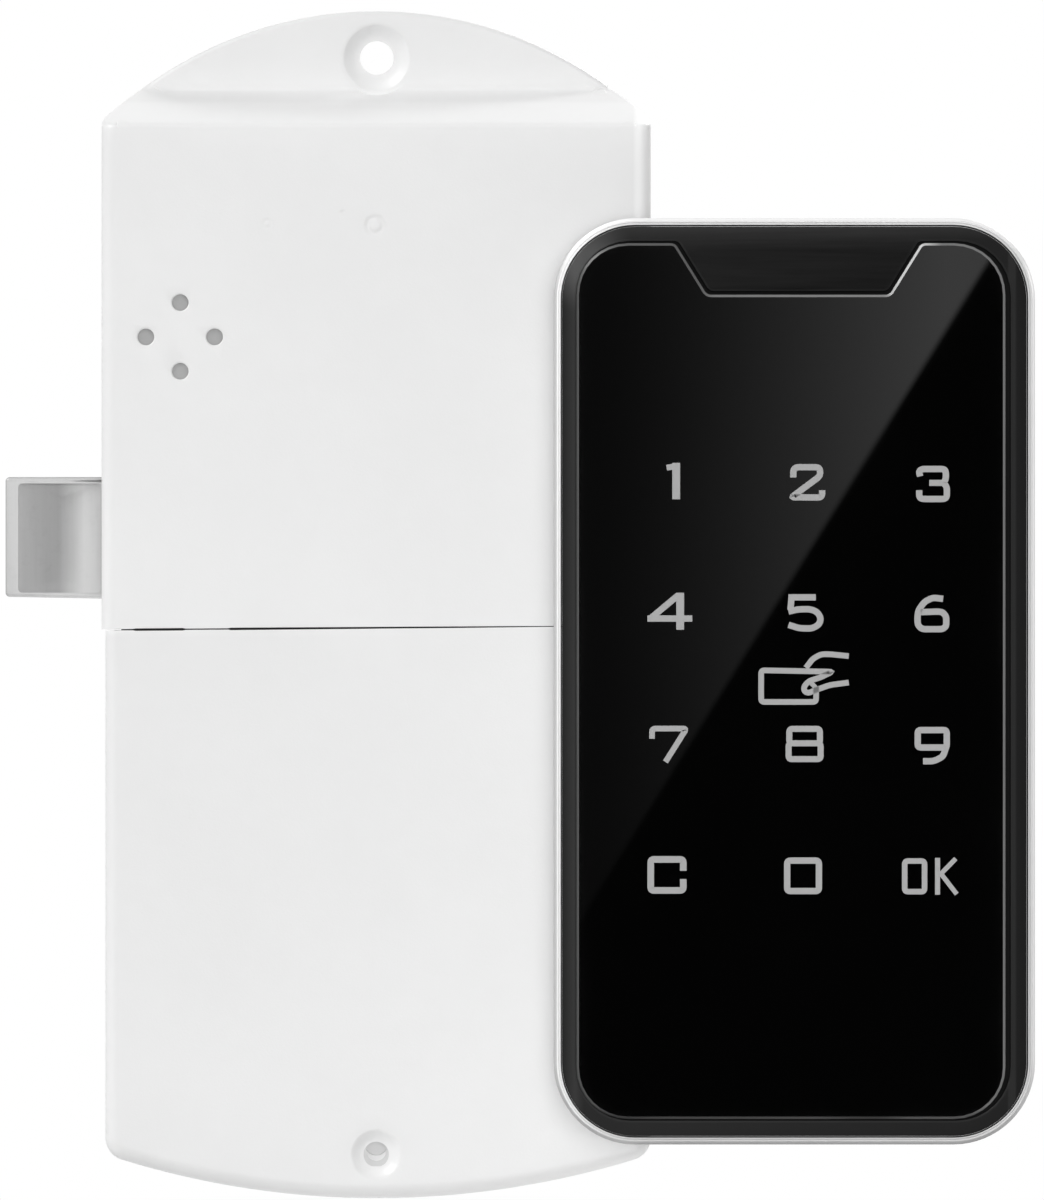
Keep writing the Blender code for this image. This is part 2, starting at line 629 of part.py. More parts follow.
def arc(x, z, radius, start, end, steps):
    """Points along an arc, from one angle to the other."""
    angles = [start + (end - start) * i / steps for i in range(steps + 1)]
    return [(x + radius * math.cos(angle), z + radius * math.sin(angle)) for angle in angles]


def chain(*runs):
    """Join runs of points into one outline, without repeating a point where they meet."""
    points = []
    for u, v in (point for run in runs for point in run):
        if not points or math.hypot(u - points[-1][0], v - points[-1][1]) > MATCH:
            points.append((u, v))
    return points


def rounded(width, height, radius, x=0.0, z=0.0):
    """A rectangle with rounded corners, about the given centre."""
    across = width / 2 - radius
    up = height / 2 - radius
    quarter = math.pi / 2
    corners = ((across, up, 0), (-across, up, 1), (-across, -up, 2), (across, -up, 3))
    return chain(*[arc(x + dx, z + dz, radius, turn * quarter, (turn + 1) * quarter, CORNER_STEPS)
                   for dx, dz, turn in corners])


def housing_outline():
    """The upper case seen from the front: straight sides under one wide arc."""
    half = CASE_WIDTH / 2
    start = math.acos(half / TOP_ARC_RADIUS)
    top = arc(0, CASE_TOP - TOP_ARC_RADIUS, TOP_ARC_RADIUS, start, math.pi - start, FINE_STEPS)
    return chain([(-half, SEAM_Z), (half, SEAM_Z)], top)


def cover_outline(inset, top):
    """The lower case seen from the front: straight sides, rounded corners and a shallow arc below."""
    half = CASE_WIDTH / 2 - COVER_INSET - inset
    radius = BOTTOM_ARC_RADIUS - inset
    corner = max(BOTTOM_CORNER_RADIUS - inset, LEAST_CORNER_RADIUS)
    across = half - corner
    middle_z = CASE_BOTTOM + BOTTOM_ARC_RADIUS
    drop = math.sqrt((radius - corner) ** 2 - across ** 2)
    turn = math.atan2(drop, across)
    left = arc(-across, middle_z - drop, corner, math.pi, math.pi + turn, CORNER_STEPS)
    bottom = arc(0, middle_z, radius, math.pi + turn, math.tau - turn, FINE_STEPS)
    right = arc(across, middle_z - drop, corner, math.tau - turn, math.tau, CORNER_STEPS)
    return chain([(-half, top)], left, bottom, right, [(half, top)])


def panel_outline(inset):
    """The touch panel seen from the front, drawn in by the given amount."""
    width = PANEL_WIDTH - 2 * inset
    height = PANEL_HEIGHT - 2 * inset
    return rounded(width, height, PANEL_RADIUS - inset, PANEL_X, PANEL_Z)


def notched_outline(width, height, radius, shift, margin):
    """A rounded rectangle with a tapered notch in its top edge; the margin narrows the notch."""
    x = PANEL_X + shift
    top = PANEL_Z + height / 2
    notch_x = PANEL_X + NOTCH_SHIFT
    notch_floor = PANEL_Z + GLASS_HEIGHT / 2 - NOTCH_DEPTH + margin
    lean = (NOTCH_TOP - NOTCH_BOTTOM) / 2 / NOTCH_DEPTH
    slant = math.hypot(1, lean) * margin
    low_half = NOTCH_BOTTOM / 2 + lean * margin - slant
    high_half = NOTCH_BOTTOM / 2 + lean * (top - notch_floor + margin) - slant
    points = rounded(width, height, radius, x, PANEL_Z)
    notch = [(notch_x + high_half, top), (notch_x + low_half, notch_floor),
             (notch_x - low_half, notch_floor), (notch_x - high_half, top)]
    first_corner = CORNER_STEPS + 1
    return points[:first_corner] + notch + points[first_corner:]


def screw(name, centre, towards_door):
    """A pan-head screw whose shank points into the case, or back at the door, from its head's seat."""
    profile = [(0, SCREW_HEAD_DEPTH), (SCREW_HEAD_RADIUS, SCREW_HEAD_DEPTH / 2), (SCREW_HEAD_RADIUS, 0),
               (SCREW_RADIUS, 0), (SCREW_RADIUS, -SCREW_LENGTH), (0, -SCREW_LENGTH)]
    obj = turned(name, profile, centre, "Y", SMALL_STEPS)
    if not towards_door:
        obj.matrix_world = Matrix.Translation(centre) @ ALONG["Y"] @ Matrix.Rotation(math.pi, 4, "X")
    return paint(obj, "nickel_plate")


BOSS_PLACES = (
    (-BOSS_X, BOSS_HIGH_Z),
    (BOSS_X, BOSS_HIGH_Z),
    (-BOSS_X, BOSS_LOW_LEFT_Z),
    (BOSS_X, BOSS_LOW_RIGHT_Z),
)
BOARD_POST_PLACES = (
    (BOARD_LEFT_X + POST_INSET, POST_LEFT_LOW_Z),
    (BOARD_LEFT_X + POST_INSET, BOARD_TOP_Z - POST_INSET),
    (BOARD_RIGHT_X - POST_INSET, BOARD_BOTTOM_Z + POST_INSET),
    (BOARD_RIGHT_X - POST_INSET, BOARD_TOP_Z - POST_INSET),
)
STRAP_POST_REACH = GEARBOX_WIDTH / 2 + STRAP_FOOT / 2 + STRAP_THICKNESS
CELL_XS = [CELL_PITCH * (i - (CELL_COUNT - 1) / 2) for i in range(CELL_COUNT)]


def make_upper_housing():
    housing = slab("upper_housing", housing_outline(), 0, CASE_DEPTH)
    side = CASE_WIDTH / 2 - OVERRUN
    soften(housing, FACE_EDGE_RADIUS,
           lambda p: near(-p.y, CASE_DEPTH) and (p.z > SEAM_Z + OVERRUN or abs(p.x) > side))
    slope = (SLOPE_FOOT_Z - SLOPE_TOP_Z) / (CASE_DEPTH - FLANGE_DEPTH)
    wedge = [(FLANGE_DEPTH, SLOPE_FOOT_Z), (CASE_DEPTH + OVERRUN, SLOPE_TOP_Z - slope * OVERRUN),
             (CASE_DEPTH + OVERRUN, CASE_TOP + OVERRUN), (FLANGE_DEPTH, CASE_TOP + OVERRUN)]
    cut(housing, prism("top_slope", wedge, -CASE_WIDTH, CASE_WIDTH))
    half = CASE_WIDTH / 2
    cut(housing, block("housing_hollow", -half + CASE_WALL, half - CASE_WALL, -OVERRUN, FACE_INSIDE,
                       SEAM_Z - OVERRUN, CAVITY_TOP))
    boss_back = BASE_THICKNESS + SEAT_GAP
    rim_front = FACE_INSIDE + ROOT
    for number, (x, z) in enumerate(BOSS_PLACES, 1):
        centre = at(x, (boss_back + rim_front) / 2, z)
        join(housing, rod(f"housing_boss_{number}", centre, "Y", BOSS_RADIUS, rim_front - boss_back))
    rim_back = FACE_INSIDE - BUZZER_RIM_DEPTH
    rim_hole = BUZZER_RADIUS + SEAT_GAP
    rim_centre = at(SOUND_X, (rim_back + rim_front) / 2, SOUND_Z)
    join(housing, rod("buzzer_rim", rim_centre, "Y", rim_hole + BUZZER_RIM_WALL, rim_front - rim_back))
    cut(housing, rod("buzzer_seat", at(SOUND_X, FACE_INSIDE - BUZZER_DEPTH, SOUND_Z), "Y", rim_hole,
                     2 * BUZZER_DEPTH))
    for number, (x, z) in enumerate(BOSS_PLACES, 1):
        centre = at(x, boss_back + (PILOT_DEPTH - OVERRUN) / 2, z)
        cut(housing, rod(f"housing_pilot_{number}", centre, "Y", SCREW_RADIUS + SEAT_GAP,
                         PILOT_DEPTH + OVERRUN, SMALL_STEPS))
    for number in range(4):
        turn = number * math.pi / 2
        centre = at(SOUND_X + SOUND_HOLE_SPREAD * math.cos(turn), CASE_DEPTH - CASE_WALL / 2,
                    SOUND_Z + SOUND_HOLE_SPREAD * math.sin(turn))
        cut(housing, rod(f"sound_hole_{number + 1}", centre, "Y", SOUND_HOLE_RADIUS,
                         CASE_WALL + 2 * OVERRUN, SMALL_STEPS))
    cut(housing, rod("top_fixing_hole", at(0, FLANGE_DEPTH / 2, TOP_HOLE_Z), "Y", FIXING_HOLE_RADIUS,
                     FLANGE_DEPTH + 2 * OVERRUN))
    cut(housing, countersink("top_fixing_sink", at(0, FLANGE_DEPTH, TOP_HOLE_Z), FIXING_HOLE_RADIUS,
                             FIXING_SINK_RADIUS, FIXING_SINK_DEPTH))
    mouth = BOLT_HEIGHT / 2 + RUNNING_GAP
    cut(housing, block("bolt_mouth", -half - OVERRUN, -half + CASE_WALL + OVERRUN, BASE_THICKNESS,
                       BOLT_FRONT + RUNNING_GAP, BOLT_Z - mouth, BOLT_Z + mouth))
    paint(housing, "white_case")


def make_battery_cover():
    cover = slab("battery_cover", cover_outline(0, COVER_TOP), 0, CASE_DEPTH)
    soften(cover, FACE_EDGE_RADIUS,
           lambda p: near(-p.y, CASE_DEPTH) and (p.z < COVER_TOP - OVERRUN or abs(p.x) > BASE_HALF))
    cut(cover, slab("cover_hollow", cover_outline(CASE_WALL, COVER_TOP + OVERRUN), -OVERRUN, FACE_INSIDE))
    inside = CASE_WIDTH / 2 - COVER_INSET - CASE_WALL
    lip_end = BAY_HALF + BAY_SIDE_WALL + RUNNING_GAP
    lip_front = RAIL_LEDGE_DEPTH - RUNNING_GAP
    for side, name in ((-1, "left"), (1, "right")):
        ends = sorted((side * lip_end, side * (inside + ROOT)))
        join(cover, block(f"cover_lip_{name}", *ends, lip_front - RAIL_LEDGE, lip_front,
                          RAIL_BOTTOM_Z, RAIL_TOP_Z))
    cut(cover, rod("cover_hole", at(0, CASE_DEPTH - CASE_WALL / 2, BOTTOM_HOLE_Z), "Y", COVER_HOLE_RADIUS,
                   CASE_WALL + 2 * OVERRUN))
    cut(cover, countersink("cover_sink", at(0, CASE_DEPTH, BOTTOM_HOLE_Z), COVER_HOLE_RADIUS,
                           COVER_SINK_RADIUS, COVER_SINK_DEPTH))
    paint(cover, "white_case")


def add_bay_walls(base):
    """The battery bay: end walls, side walls with the cover's ledges, and cradles for the cells."""
    sunk = BASE_THICKNESS - ROOT
    outer = BAY_HALF + BAY_SIDE_WALL
    join(base, block("bay_top_wall", -outer, outer, sunk, FACE_INSIDE - SEAT_GAP, BAY_TOP_Z, COVER_TOP))
    join(base, block("bay_bottom_wall", -outer, outer, sunk, BAY_END_DEPTH, BAY_BOTTOM_Z - BAY_WALL,
                     BAY_BOTTOM_Z))
    for side, name in ((-1, "left"), (1, "right")):
        wall = sorted((side * BAY_HALF, side * outer))
        ledge = sorted((side * (outer - ROOT), side * BASE_HALF))
        join(base, block(f"bay_wall_{name}", *wall, sunk, BAY_SIDE_DEPTH, BAY_BOTTOM_Z - ROOT,
                         BAY_TOP_Z + ROOT))
        join(base, block(f"bay_ledge_{name}", *ledge, RAIL_LEDGE_DEPTH, RAIL_LEDGE_DEPTH + RAIL_LEDGE,
                         RAIL_BOTTOM_Z, RAIL_TOP_Z))
    for number, share in enumerate(CRADLE_PLACE_SHARES, 1):
        z = BAY_BOTTOM_Z + share * BAY_LENGTH
        join(base, block(f"cell_cradle_{number}", -BAY_HALF - ROOT, BAY_HALF + ROOT, sunk, CRADLE_DEPTH,
                         z - CRADLE_THICKNESS / 2, z + CRADLE_THICKNESS / 2))
    cradle_span = CELL_LENGTH - 2 * SPRING_LENGTH
    for number, x in enumerate(CELL_XS, 1):
        cut(base, rod(f"cell_trough_{number}", at(x, CELL_DEPTH, (BAY_TOP_Z + BAY_BOTTOM_Z) / 2), "Z",
                      CELL_RADIUS + SEAT_GAP, cradle_span, FINE_STEPS))


def add_base_posts(base):
    """Posts for the board and the motor's strap, the cover screw's boss, and the motor's bed."""
    sunk = BASE_THICKNESS - ROOT
    post_top = BOARD_BACK - SEAT_GAP
    for number, (x, z) in enumerate(BOARD_POST_PLACES, 1):
        join(base, rod(f"board_post_{number}", at(x, (sunk + post_top) / 2, z), "Y", POST_RADIUS,
                       post_top - sunk, SMALL_STEPS))
        pin_top = BOARD_FRONT + SEAT_GAP
        join(base, rod(f"board_pin_{number}", at(x, (post_top - ROOT + pin_top) / 2, z), "Y",
                       POST_PIN_RADIUS, pin_top - post_top + ROOT, SMALL_STEPS))
    strap_post_top = STRAP_FOOT_DEPTH - SEAT_GAP
    for number, side in enumerate((-1, 1), 1):
        x = PINION_X + side * STRAP_POST_REACH
        join(base, rod(f"strap_post_{number}", at(x, (sunk + strap_post_top) / 2, STRAP_Z), "Y",
                       BOSS_RADIUS, strap_post_top - sunk, SMALL_STEPS))
        cut(base, rod(f"strap_pilot_{number}", at(x, strap_post_top + (OVERRUN - PILOT_DEPTH) / 2, STRAP_Z),
                      "Y", SCREW_RADIUS + SEAT_GAP, PILOT_DEPTH + OVERRUN, SMALL_STEPS))
    boss_top = FACE_INSIDE - SEAT_GAP
    join(base, rod("cover_boss", at(0, (sunk + boss_top) / 2, BOTTOM_HOLE_Z), "Y", COVER_BOSS_RADIUS,
                   boss_top - sunk))
    cut(base, rod("cover_pilot", at(0, boss_top + (OVERRUN - PILOT_DEPTH) / 2, BOTTOM_HOLE_Z), "Y",
                  SCREW_RADIUS + SEAT_GAP, PILOT_DEPTH + OVERRUN, SMALL_STEPS))
    bed_top = DRIVE_DEPTH - GEARBOX_DEPTH / 2 - SEAT_GAP
    join(base, block("motor_bed", PINION_X - GEARBOX_WIDTH / 2, PINION_X + GEARBOX_WIDTH / 2, sunk, bed_top,
                     GEARBOX_BOTTOM_Z, GEARBOX_TOP_Z))


def make_base_plate():
    base = slab("base_plate", cover_outline(CASE_WALL + SEAT_GAP, CAVITY_TOP - SEAT_GAP), 0, BASE_THICKNESS)
    sunk = BASE_THICKNESS - ROOT
    rail_low = BOLT_Z + SLED_HALF + RUNNING_GAP
    rail_left = -BOSS_X + BOSS_RADIUS + SEAT_GAP
    join(base, block("sled_rail", rail_left, SLED_END_X, sunk, SLED_CEILING, rail_low,
                     rail_low + BAY_SIDE_WALL))
    add_bay_walls(base)
    add_base_posts(base)
    head_room = SCREW_HEAD_DEPTH + SEAT_GAP
    for number, (x, z) in enumerate(BOSS_PLACES, 1):
        cut(base, rod(f"base_screw_hole_{number}", at(x, BASE_THICKNESS / 2, z), "Y",
                      SCREW_RADIUS + SEAT_GAP, BASE_THICKNESS + 2 * OVERRUN, SMALL_STEPS))
        cut(base, rod(f"base_head_room_{number}", at(x, (head_room - OVERRUN) / 2, z), "Y",
                      SCREW_HEAD_RADIUS + SEAT_GAP, head_room + OVERRUN, SMALL_STEPS))
    cut(base, rod("cable_hole", at(GROMMET_X, BASE_THICKNESS / 2, GROMMET_Z), "Y", CABLE_HOLE_RADIUS,
                  BASE_THICKNESS + 2 * OVERRUN))
    cut(base, rod("set_key_hole", at(SET_X, SET_DEPTH, COVER_TOP - BAY_WALL / 2), "Z",
                  SET_RADIUS + RUNNING_GAP, BAY_WALL + 2 * OVERRUN, SMALL_STEPS))
    paint(base, "base_plastic")


def make_bolt_tongue():
    half = BOLT_HEIGHT / 2
    tongue = block("bolt_tongue", BOLT_TIP_X, TAIL_START_X + ROOT, BOLT_BACK, BOLT_FRONT, BOLT_Z - half,
                   BOLT_Z + half)
    soften(tongue, BOLT_EDGE_RADIUS, lambda p: near(p.x, BOLT_TIP_X), 2)
    join(tongue, block("bolt_tail", TAIL_START_X, TAIL_END_X, BOLT_BACK, BOLT_FRONT,
                       BOLT_Z - half - TAIL_WING, BOLT_Z + half + TAIL_WING))
    scoop_left = BOLT_TIP_X + SCOOP_TIP_RIM
    scoop_right = -CASE_WIDTH / 2 - BOLT_LIP
    rim = half - SCOOP_SIDE_RIM
    middle = at((scoop_left + scoop_right) / 2, BOLT_FRONT + SCOOP_RADIUS - SCOOP_DEPTH, BOLT_Z)
    cut(tongue, rod("bolt_scoop", middle, "Z", SCOOP_RADIUS, 2 * rim, 2 * FINE_STEPS))
    paint(tongue, "cast_zinc")


def rack_profile():
    """Teeth along the sled's face, in x and depth; a space lies under the pinion at rest."""
    reach = TOOTH_PITCH * TOOTH_ROOT_SHARE / 2
    tip = TOOTH_PITCH * TOOTH_TIP_SHARE / 2
    tip_line = SLED_FACE + (ROOT_SHARE + TIP_SHARE) * GEAR_MODULE
    used_teeth = math.ceil(BOLT_THROW / TOOTH_PITCH)
    teeth = []
    for i in range(-used_teeth - RACK_SPARE_TEETH, 1 + RACK_SPARE_TEETH):
        x = PINION_X + i * TOOTH_PITCH + TOOTH_PITCH / 2
        teeth += [(x - reach, SLED_FACE), (x - tip, tip_line), (x + tip, tip_line), (x + reach, SLED_FACE)]
    foot = SLED_FACE - ROOT
    return [(teeth[0][0], foot)] + teeth + [(teeth[-1][0], foot)]


def make_bolt_sled():
    half = SLED_HALF - RUNNING_GAP
    sled = block("bolt_sled", SLED_START_X, SLED_END_X, BOLT_BACK, SLED_FACE, BOLT_Z - half, BOLT_Z + half)
    wing = BOLT_HEIGHT / 2 + TAIL_WING + RUNNING_GAP
    cut(sled, block("sled_hollow", SLED_START_X + SLED_FRONT_WALL, SLED_HOLLOW_END_X, BOLT_BACK - OVERRUN,
                    SLED_CEILING, BOLT_Z - wing, BOLT_Z + wing))
    window = BOLT_HEIGHT / 2 + RUNNING_GAP
    cut(sled, block("sled_window", SLED_START_X - OVERRUN, SLED_START_X + SLED_FRONT_WALL + OVERRUN,
                    BOLT_BACK - OVERRUN, SLED_CEILING, BOLT_Z - window, BOLT_Z + window))
    join(sled, rod("spring_peg", at(SLED_HOLLOW_END_X + (ROOT - LATCH_PEG_LENGTH) / 2,
                                    (BOLT_BACK + BOLT_FRONT) / 2, BOLT_Z), "X", LATCH_PEG_RADIUS,
                   LATCH_PEG_LENGTH + ROOT, SMALL_STEPS))
    join(sled, strip("sled_rack", rack_profile(), PINION_BOTTOM_Z - RACK_MARGIN, BOLT_Z + half))
    paint(sled, "sled_plastic")


def make_bolt_spring():
    gap = SEAT_GAP
    length = SLED_HOLLOW_END_X - TAIL_END_X - 2 * gap
    centre = at((TAIL_END_X + SLED_HOLLOW_END_X) / 2, (BOLT_BACK + BOLT_FRONT) / 2, BOLT_Z)
    spring = coil("bolt_spring", centre, "X", (LATCH_SPRING_RADIUS, LATCH_SPRING_RADIUS), length,
                  LATCH_SPRING_TURNS, LATCH_WIRE_RADIUS)
    paint(spring, "spring_steel")


def make_drive():
    """The pinion in mesh with the rack, its shaft, the gearbox and the motor above it."""
    root = PINION_RADIUS - ROOT_SHARE * GEAR_MODULE
    outer = PINION_RADIUS + TIP_SHARE * GEAR_MODULE
    step = math.tau / PINION_TEETH
    outline = []
    for i in range(PINION_TEETH):
        middle = math.pi / 2 * 3 + i * step
        for radius, share in ((root, -TOOTH_ROOT_SHARE), (PINION_RADIUS, -TOOTH_PITCH_SHARE),
                              (outer, -TOOTH_TIP_SHARE), (outer, TOOTH_TIP_SHARE),
                              (PINION_RADIUS, TOOTH_PITCH_SHARE), (root, TOOTH_ROOT_SHARE)):
            angle = middle + share * TOOTH_PITCH / 2 / radius
            outline.append((radius * math.cos(angle), radius * math.sin(angle)))
    bore = arc(0, 0, SHAFT_RADIUS + SHAFT_BORE_GAP, 0, math.tau * (1 - 1 / ROUND_STEPS), ROUND_STEPS - 1)
    axis_point = at(PINION_X, DRIVE_DEPTH, (PINION_TOP_Z + PINION_BOTTOM_Z) / 2)
    place = Matrix.Translation(axis_point) @ TOP_ON
    paint(extruded("drive_pinion", [outline, bore], PINION_WIDTH, place), "gear_brass")
    shaft_top = GEARBOX_BOTTOM_Z - SEAT_GAP
    shaft_length = shaft_top - PINION_BOTTOM_Z
    shaft = rod("output_shaft", at(PINION_X, DRIVE_DEPTH, PINION_BOTTOM_Z + shaft_length / 2), "Z",
                SHAFT_RADIUS, shaft_length)
    paint(shaft, "motor_steel")
    gearbox = block("gearbox", PINION_X - GEARBOX_WIDTH / 2, PINION_X + GEARBOX_WIDTH / 2,
                    DRIVE_DEPTH - GEARBOX_DEPTH / 2, DRIVE_DEPTH + GEARBOX_DEPTH / 2,
                    GEARBOX_BOTTOM_Z, GEARBOX_TOP_Z)
    paint(gearbox, "gear_brass")
    motor_low = GEARBOX_TOP_Z + SEAT_GAP
    start = math.asin(MOTOR_FLAT / MOTOR_RADIUS)
    side = arc(0, 0, MOTOR_RADIUS, -start, start, CORNER_STEPS)
    other = arc(0, 0, MOTOR_RADIUS, math.pi - start, math.pi + start, CORNER_STEPS)
    outline = [(PINION_X + u, DRIVE_DEPTH + v) for u, v in chain(side, other)]
    paint(strip("drive_motor", outline, motor_low, motor_low + MOTOR_LENGTH), "motor_steel")


def make_motor_bracket():
    half = GEARBOX_WIDTH / 2 + SEAT_GAP
    front = DRIVE_DEPTH + GEARBOX_DEPTH / 2 + SEAT_GAP
    thick = STRAP_THICKNESS
    foot = half + STRAP_FOOT
    low = STRAP_FOOT_DEPTH
    right = [(foot, low), (foot, low + thick), (half + thick, low + thick), (half + thick, front + thick)]
    inner = [(half, front), (half, low)]
    outline = right + [(-x, d) for x, d in reversed(right)] + [(-x, d) for x, d in reversed(inner)] + inner
    outline = [(PINION_X + x, d) for x, d in outline]
    bracket = strip("motor_bracket", outline, STRAP_Z - STRAP_WIDTH / 2, STRAP_Z + STRAP_WIDTH / 2)
    for number, side in enumerate((-1, 1), 1):
        x = PINION_X + side * STRAP_POST_REACH
        cut(bracket, rod(f"strap_hole_{number}", at(x, low + thick / 2, STRAP_Z), "Y",
                         SCREW_RADIUS + SEAT_GAP, thick + 2 * OVERRUN, SMALL_STEPS))
        screw(f"bracket_screw_{number}", at(x, low + thick + SEAT_GAP, STRAP_Z), True)
    paint(bracket, "nickel_plate")


def make_main_board():
    board = block("main_board", BOARD_LEFT_X, BOARD_RIGHT_X, BOARD_BACK, BOARD_FRONT, BOARD_BOTTOM_Z,
                  BOARD_TOP_Z)
    for number, (x, z) in enumerate(BOARD_POST_PLACES, 1):
        cut(board, rod(f"board_hole_{number}", at(x, (BOARD_BACK + BOARD_FRONT) / 2, z), "Y",
                       POST_PIN_RADIUS + SEAT_GAP, BOARD_THICKNESS + 2 * OVERRUN, SMALL_STEPS))
    paint(board, "circuit_green")
    front = BOARD_FRONT + SEAT_GAP
    back = BOARD_BACK - SEAT_GAP
    middle = BOARD_MIDDLE_X
    chip = block("control_chip", middle - CHIP_SIZE / 2, middle + CHIP_SIZE / 2, front, front + CHIP_DEPTH,
                 CHIP_Z - CHIP_SIZE / 2, CHIP_Z + CHIP_SIZE / 2)
    paint(chip, "chip_black")
    capacitor = rod("reservoir_capacitor", at(middle, back - CAPACITOR_LENGTH / 2, CAPACITOR_Z), "Y",
                    CAPACITOR_RADIUS, CAPACITOR_LENGTH)
    paint(capacitor, "motor_steel")
    make_socket("cable_socket", middle, CABLE_SOCKET_Z, SOCKET_WIDTH, back - SOCKET_DEPTH, back)
    make_socket("motor_socket", middle, MOTOR_SOCKET_Z, MOTOR_SOCKET_WIDTH, front, front + SOCKET_DEPTH)
    sensor = block("position_sensor", SENSOR_X - SENSOR_WIDTH / 2, SENSOR_X + SENSOR_WIDTH / 2,
                   back - SENSOR_DEPTH, back, BOLT_Z - SENSOR_HEIGHT / 2, BOLT_Z + SENSOR_HEIGHT / 2)
    slot = SENSOR_HEIGHT / 2 - SOCKET_SLOT
    cut(sensor, block("sensor_slot", SENSOR_X - SENSOR_WIDTH, SENSOR_X + SENSOR_WIDTH,
                      back - SENSOR_DEPTH - OVERRUN, back - SENSOR_DEPTH / 2, BOLT_Z - slot, BOLT_Z + slot))
    paint(sensor, "chip_black")


def make_socket(name, x, z, width, back, front):
    """A plug socket whose mouth is open downwards."""
    bottom = z - SOCKET_HEIGHT / 2
    top = z + SOCKET_HEIGHT / 2
    socket = block(name, x - width / 2, x + width / 2, back, front, bottom, top)
    cut(socket, block(f"{name}_mouth", x - width / 2 + SOCKET_SLOT, x + width / 2 - SOCKET_SLOT,
                      back + SOCKET_SLOT, front - SOCKET_SLOT, bottom - OVERRUN, top - SOCKET_SLOT))
    paint(socket, "socket_white")


def make_set_key():
    switch = block("set_switch", SET_X - SET_SWITCH_SIZE / 2, SET_X + SET_SWITCH_SIZE / 2,
                   BOARD_FRONT + SEAT_GAP, BOARD_FRONT + SEAT_GAP + SET_SWITCH_DEPTH,
                   SET_SWITCH_Z, SET_SWITCH_Z + SET_SWITCH_SIZE)
    paint(switch, "chip_black")
    top = SET_SWITCH_Z - SEAT_GAP - SET_TRAVEL
    bottom = BAY_TOP_Z - SET_REACH
    profile = [(0, top), (SET_COLLAR_RADIUS, top), (SET_COLLAR_RADIUS, top - SET_COLLAR),
               (SET_RADIUS, top - SET_COLLAR), (SET_RADIUS, bottom), (0, bottom)]
    button = turned("set_button", profile, at(SET_X, SET_DEPTH, 0), "Z", SMALL_STEPS)
    paint(button, "socket_white")


def make_buzzer():
    front = FACE_INSIDE - SEAT_GAP
    buzzer = rod("buzzer", at(SOUND_X, front - BUZZER_DEPTH / 2, SOUND_Z), "Y", BUZZER_RADIUS, BUZZER_DEPTH,
                 FINE_STEPS)
    paint(buzzer, "buzzer_grey")


def make_grommet():
    outer = GROMMET_BORE + GROMMET_WALL
    flange = outer + GROMMET_FLANGE
    seat = BASE_THICKNESS + SEAT_GAP
    profile = [(GROMMET_BORE, seat + GROMMET_LIP), (flange, seat + GROMMET_LIP), (flange, seat),
               (outer, seat), (outer, 0), (GROMMET_BORE, 0)]
    grommet = turned("cable_grommet", profile, at(GROMMET_X, 0, GROMMET_Z), "Y", ROUND_STEPS)
    paint(grommet, "rubber_black")


def make_cells():
    """Cells, springs and contact plates, each cell turned end for end from its neighbour."""
    top_seat = BAY_TOP_Z - SEAT_GAP
    bottom_seat = BAY_BOTTOM_Z + SEAT_GAP
    taper = (SPRING_WIDE_RADIUS, SPRING_NARROW_RADIUS)
    shoulder = CELL_LENGTH - CELL_NUB
    profile = [(0, CELL_LENGTH), (CELL_NUB_RADIUS, CELL_LENGTH), (CELL_NUB_RADIUS, shoulder),
               (CELL_RADIUS - CELL_EDGE, shoulder), (CELL_RADIUS, shoulder - CELL_EDGE),
               (CELL_RADIUS, CELL_EDGE), (CELL_RADIUS - CELL_EDGE, 0), (0, 0)]
    for number, x in enumerate(CELL_XS, 1):
        nub_up = number % 2 == 1
        foot = bottom_seat + PLATE_THICKNESS + SPRING_LENGTH + 2 * SEAT_GAP
        head = top_seat - PLATE_THICKNESS - SPRING_LENGTH - 2 * SEAT_GAP
        cell = turned(f"battery_cell_{number}", profile, at(x, CELL_DEPTH, foot if nub_up else head), "Z")
        if not nub_up:
            cell.matrix_world = cell.matrix_world @ Matrix.Rotation(math.pi, 4, "X")
        paint(cell, "cell_wrap")
        plate = (bottom_seat if nub_up else top_seat - SPRING_LENGTH - 2 * SEAT_GAP) + SEAT_GAP
        plate += PLATE_THICKNESS if nub_up else -PLATE_THICKNESS
        spring = coil(f"cell_spring_{number}", at(x, CELL_DEPTH, plate + SPRING_LENGTH / 2), "Z",
                      taper if nub_up else taper[::-1], SPRING_LENGTH, SPRING_TURNS, SPRING_WIRE_RADIUS)
        paint(spring, "spring_steel")
    spans = ((0, 0, top_seat - PLATE_THICKNESS), (1, 2, top_seat - PLATE_THICKNESS),
             (3, 3, top_seat - PLATE_THICKNESS), (0, 1, bottom_seat), (2, 3, bottom_seat))
    for number, (first, last, z) in enumerate(spans, 1):
        plate = block(f"contact_plate_{number}", CELL_XS[first] - PLATE_SIZE / 2,
                      CELL_XS[last] + PLATE_SIZE / 2, CELL_DEPTH - PLATE_SIZE / 2,
                      CELL_DEPTH + PLATE_SIZE / 2, z, z + PLATE_THICKNESS)
        paint(plate, "nickel_plate")


def make_housing_screws():
    for number, (x, z) in enumerate(BOSS_PLACES, 1):
        screw(f"housing_screw_{number}", at(x, SCREW_HEAD_DEPTH, z), False)


def make_panel_frame():
    frame = slab("panel_frame", panel_outline(0), FRAME_BACK, PANEL_FRONT, panel_outline(FRAME_RIM))
    soften(frame, FRAME_EDGE_RADIUS, lambda p: near(-p.y, PANEL_FRONT), 2)
    paint(frame, "frame_silver")


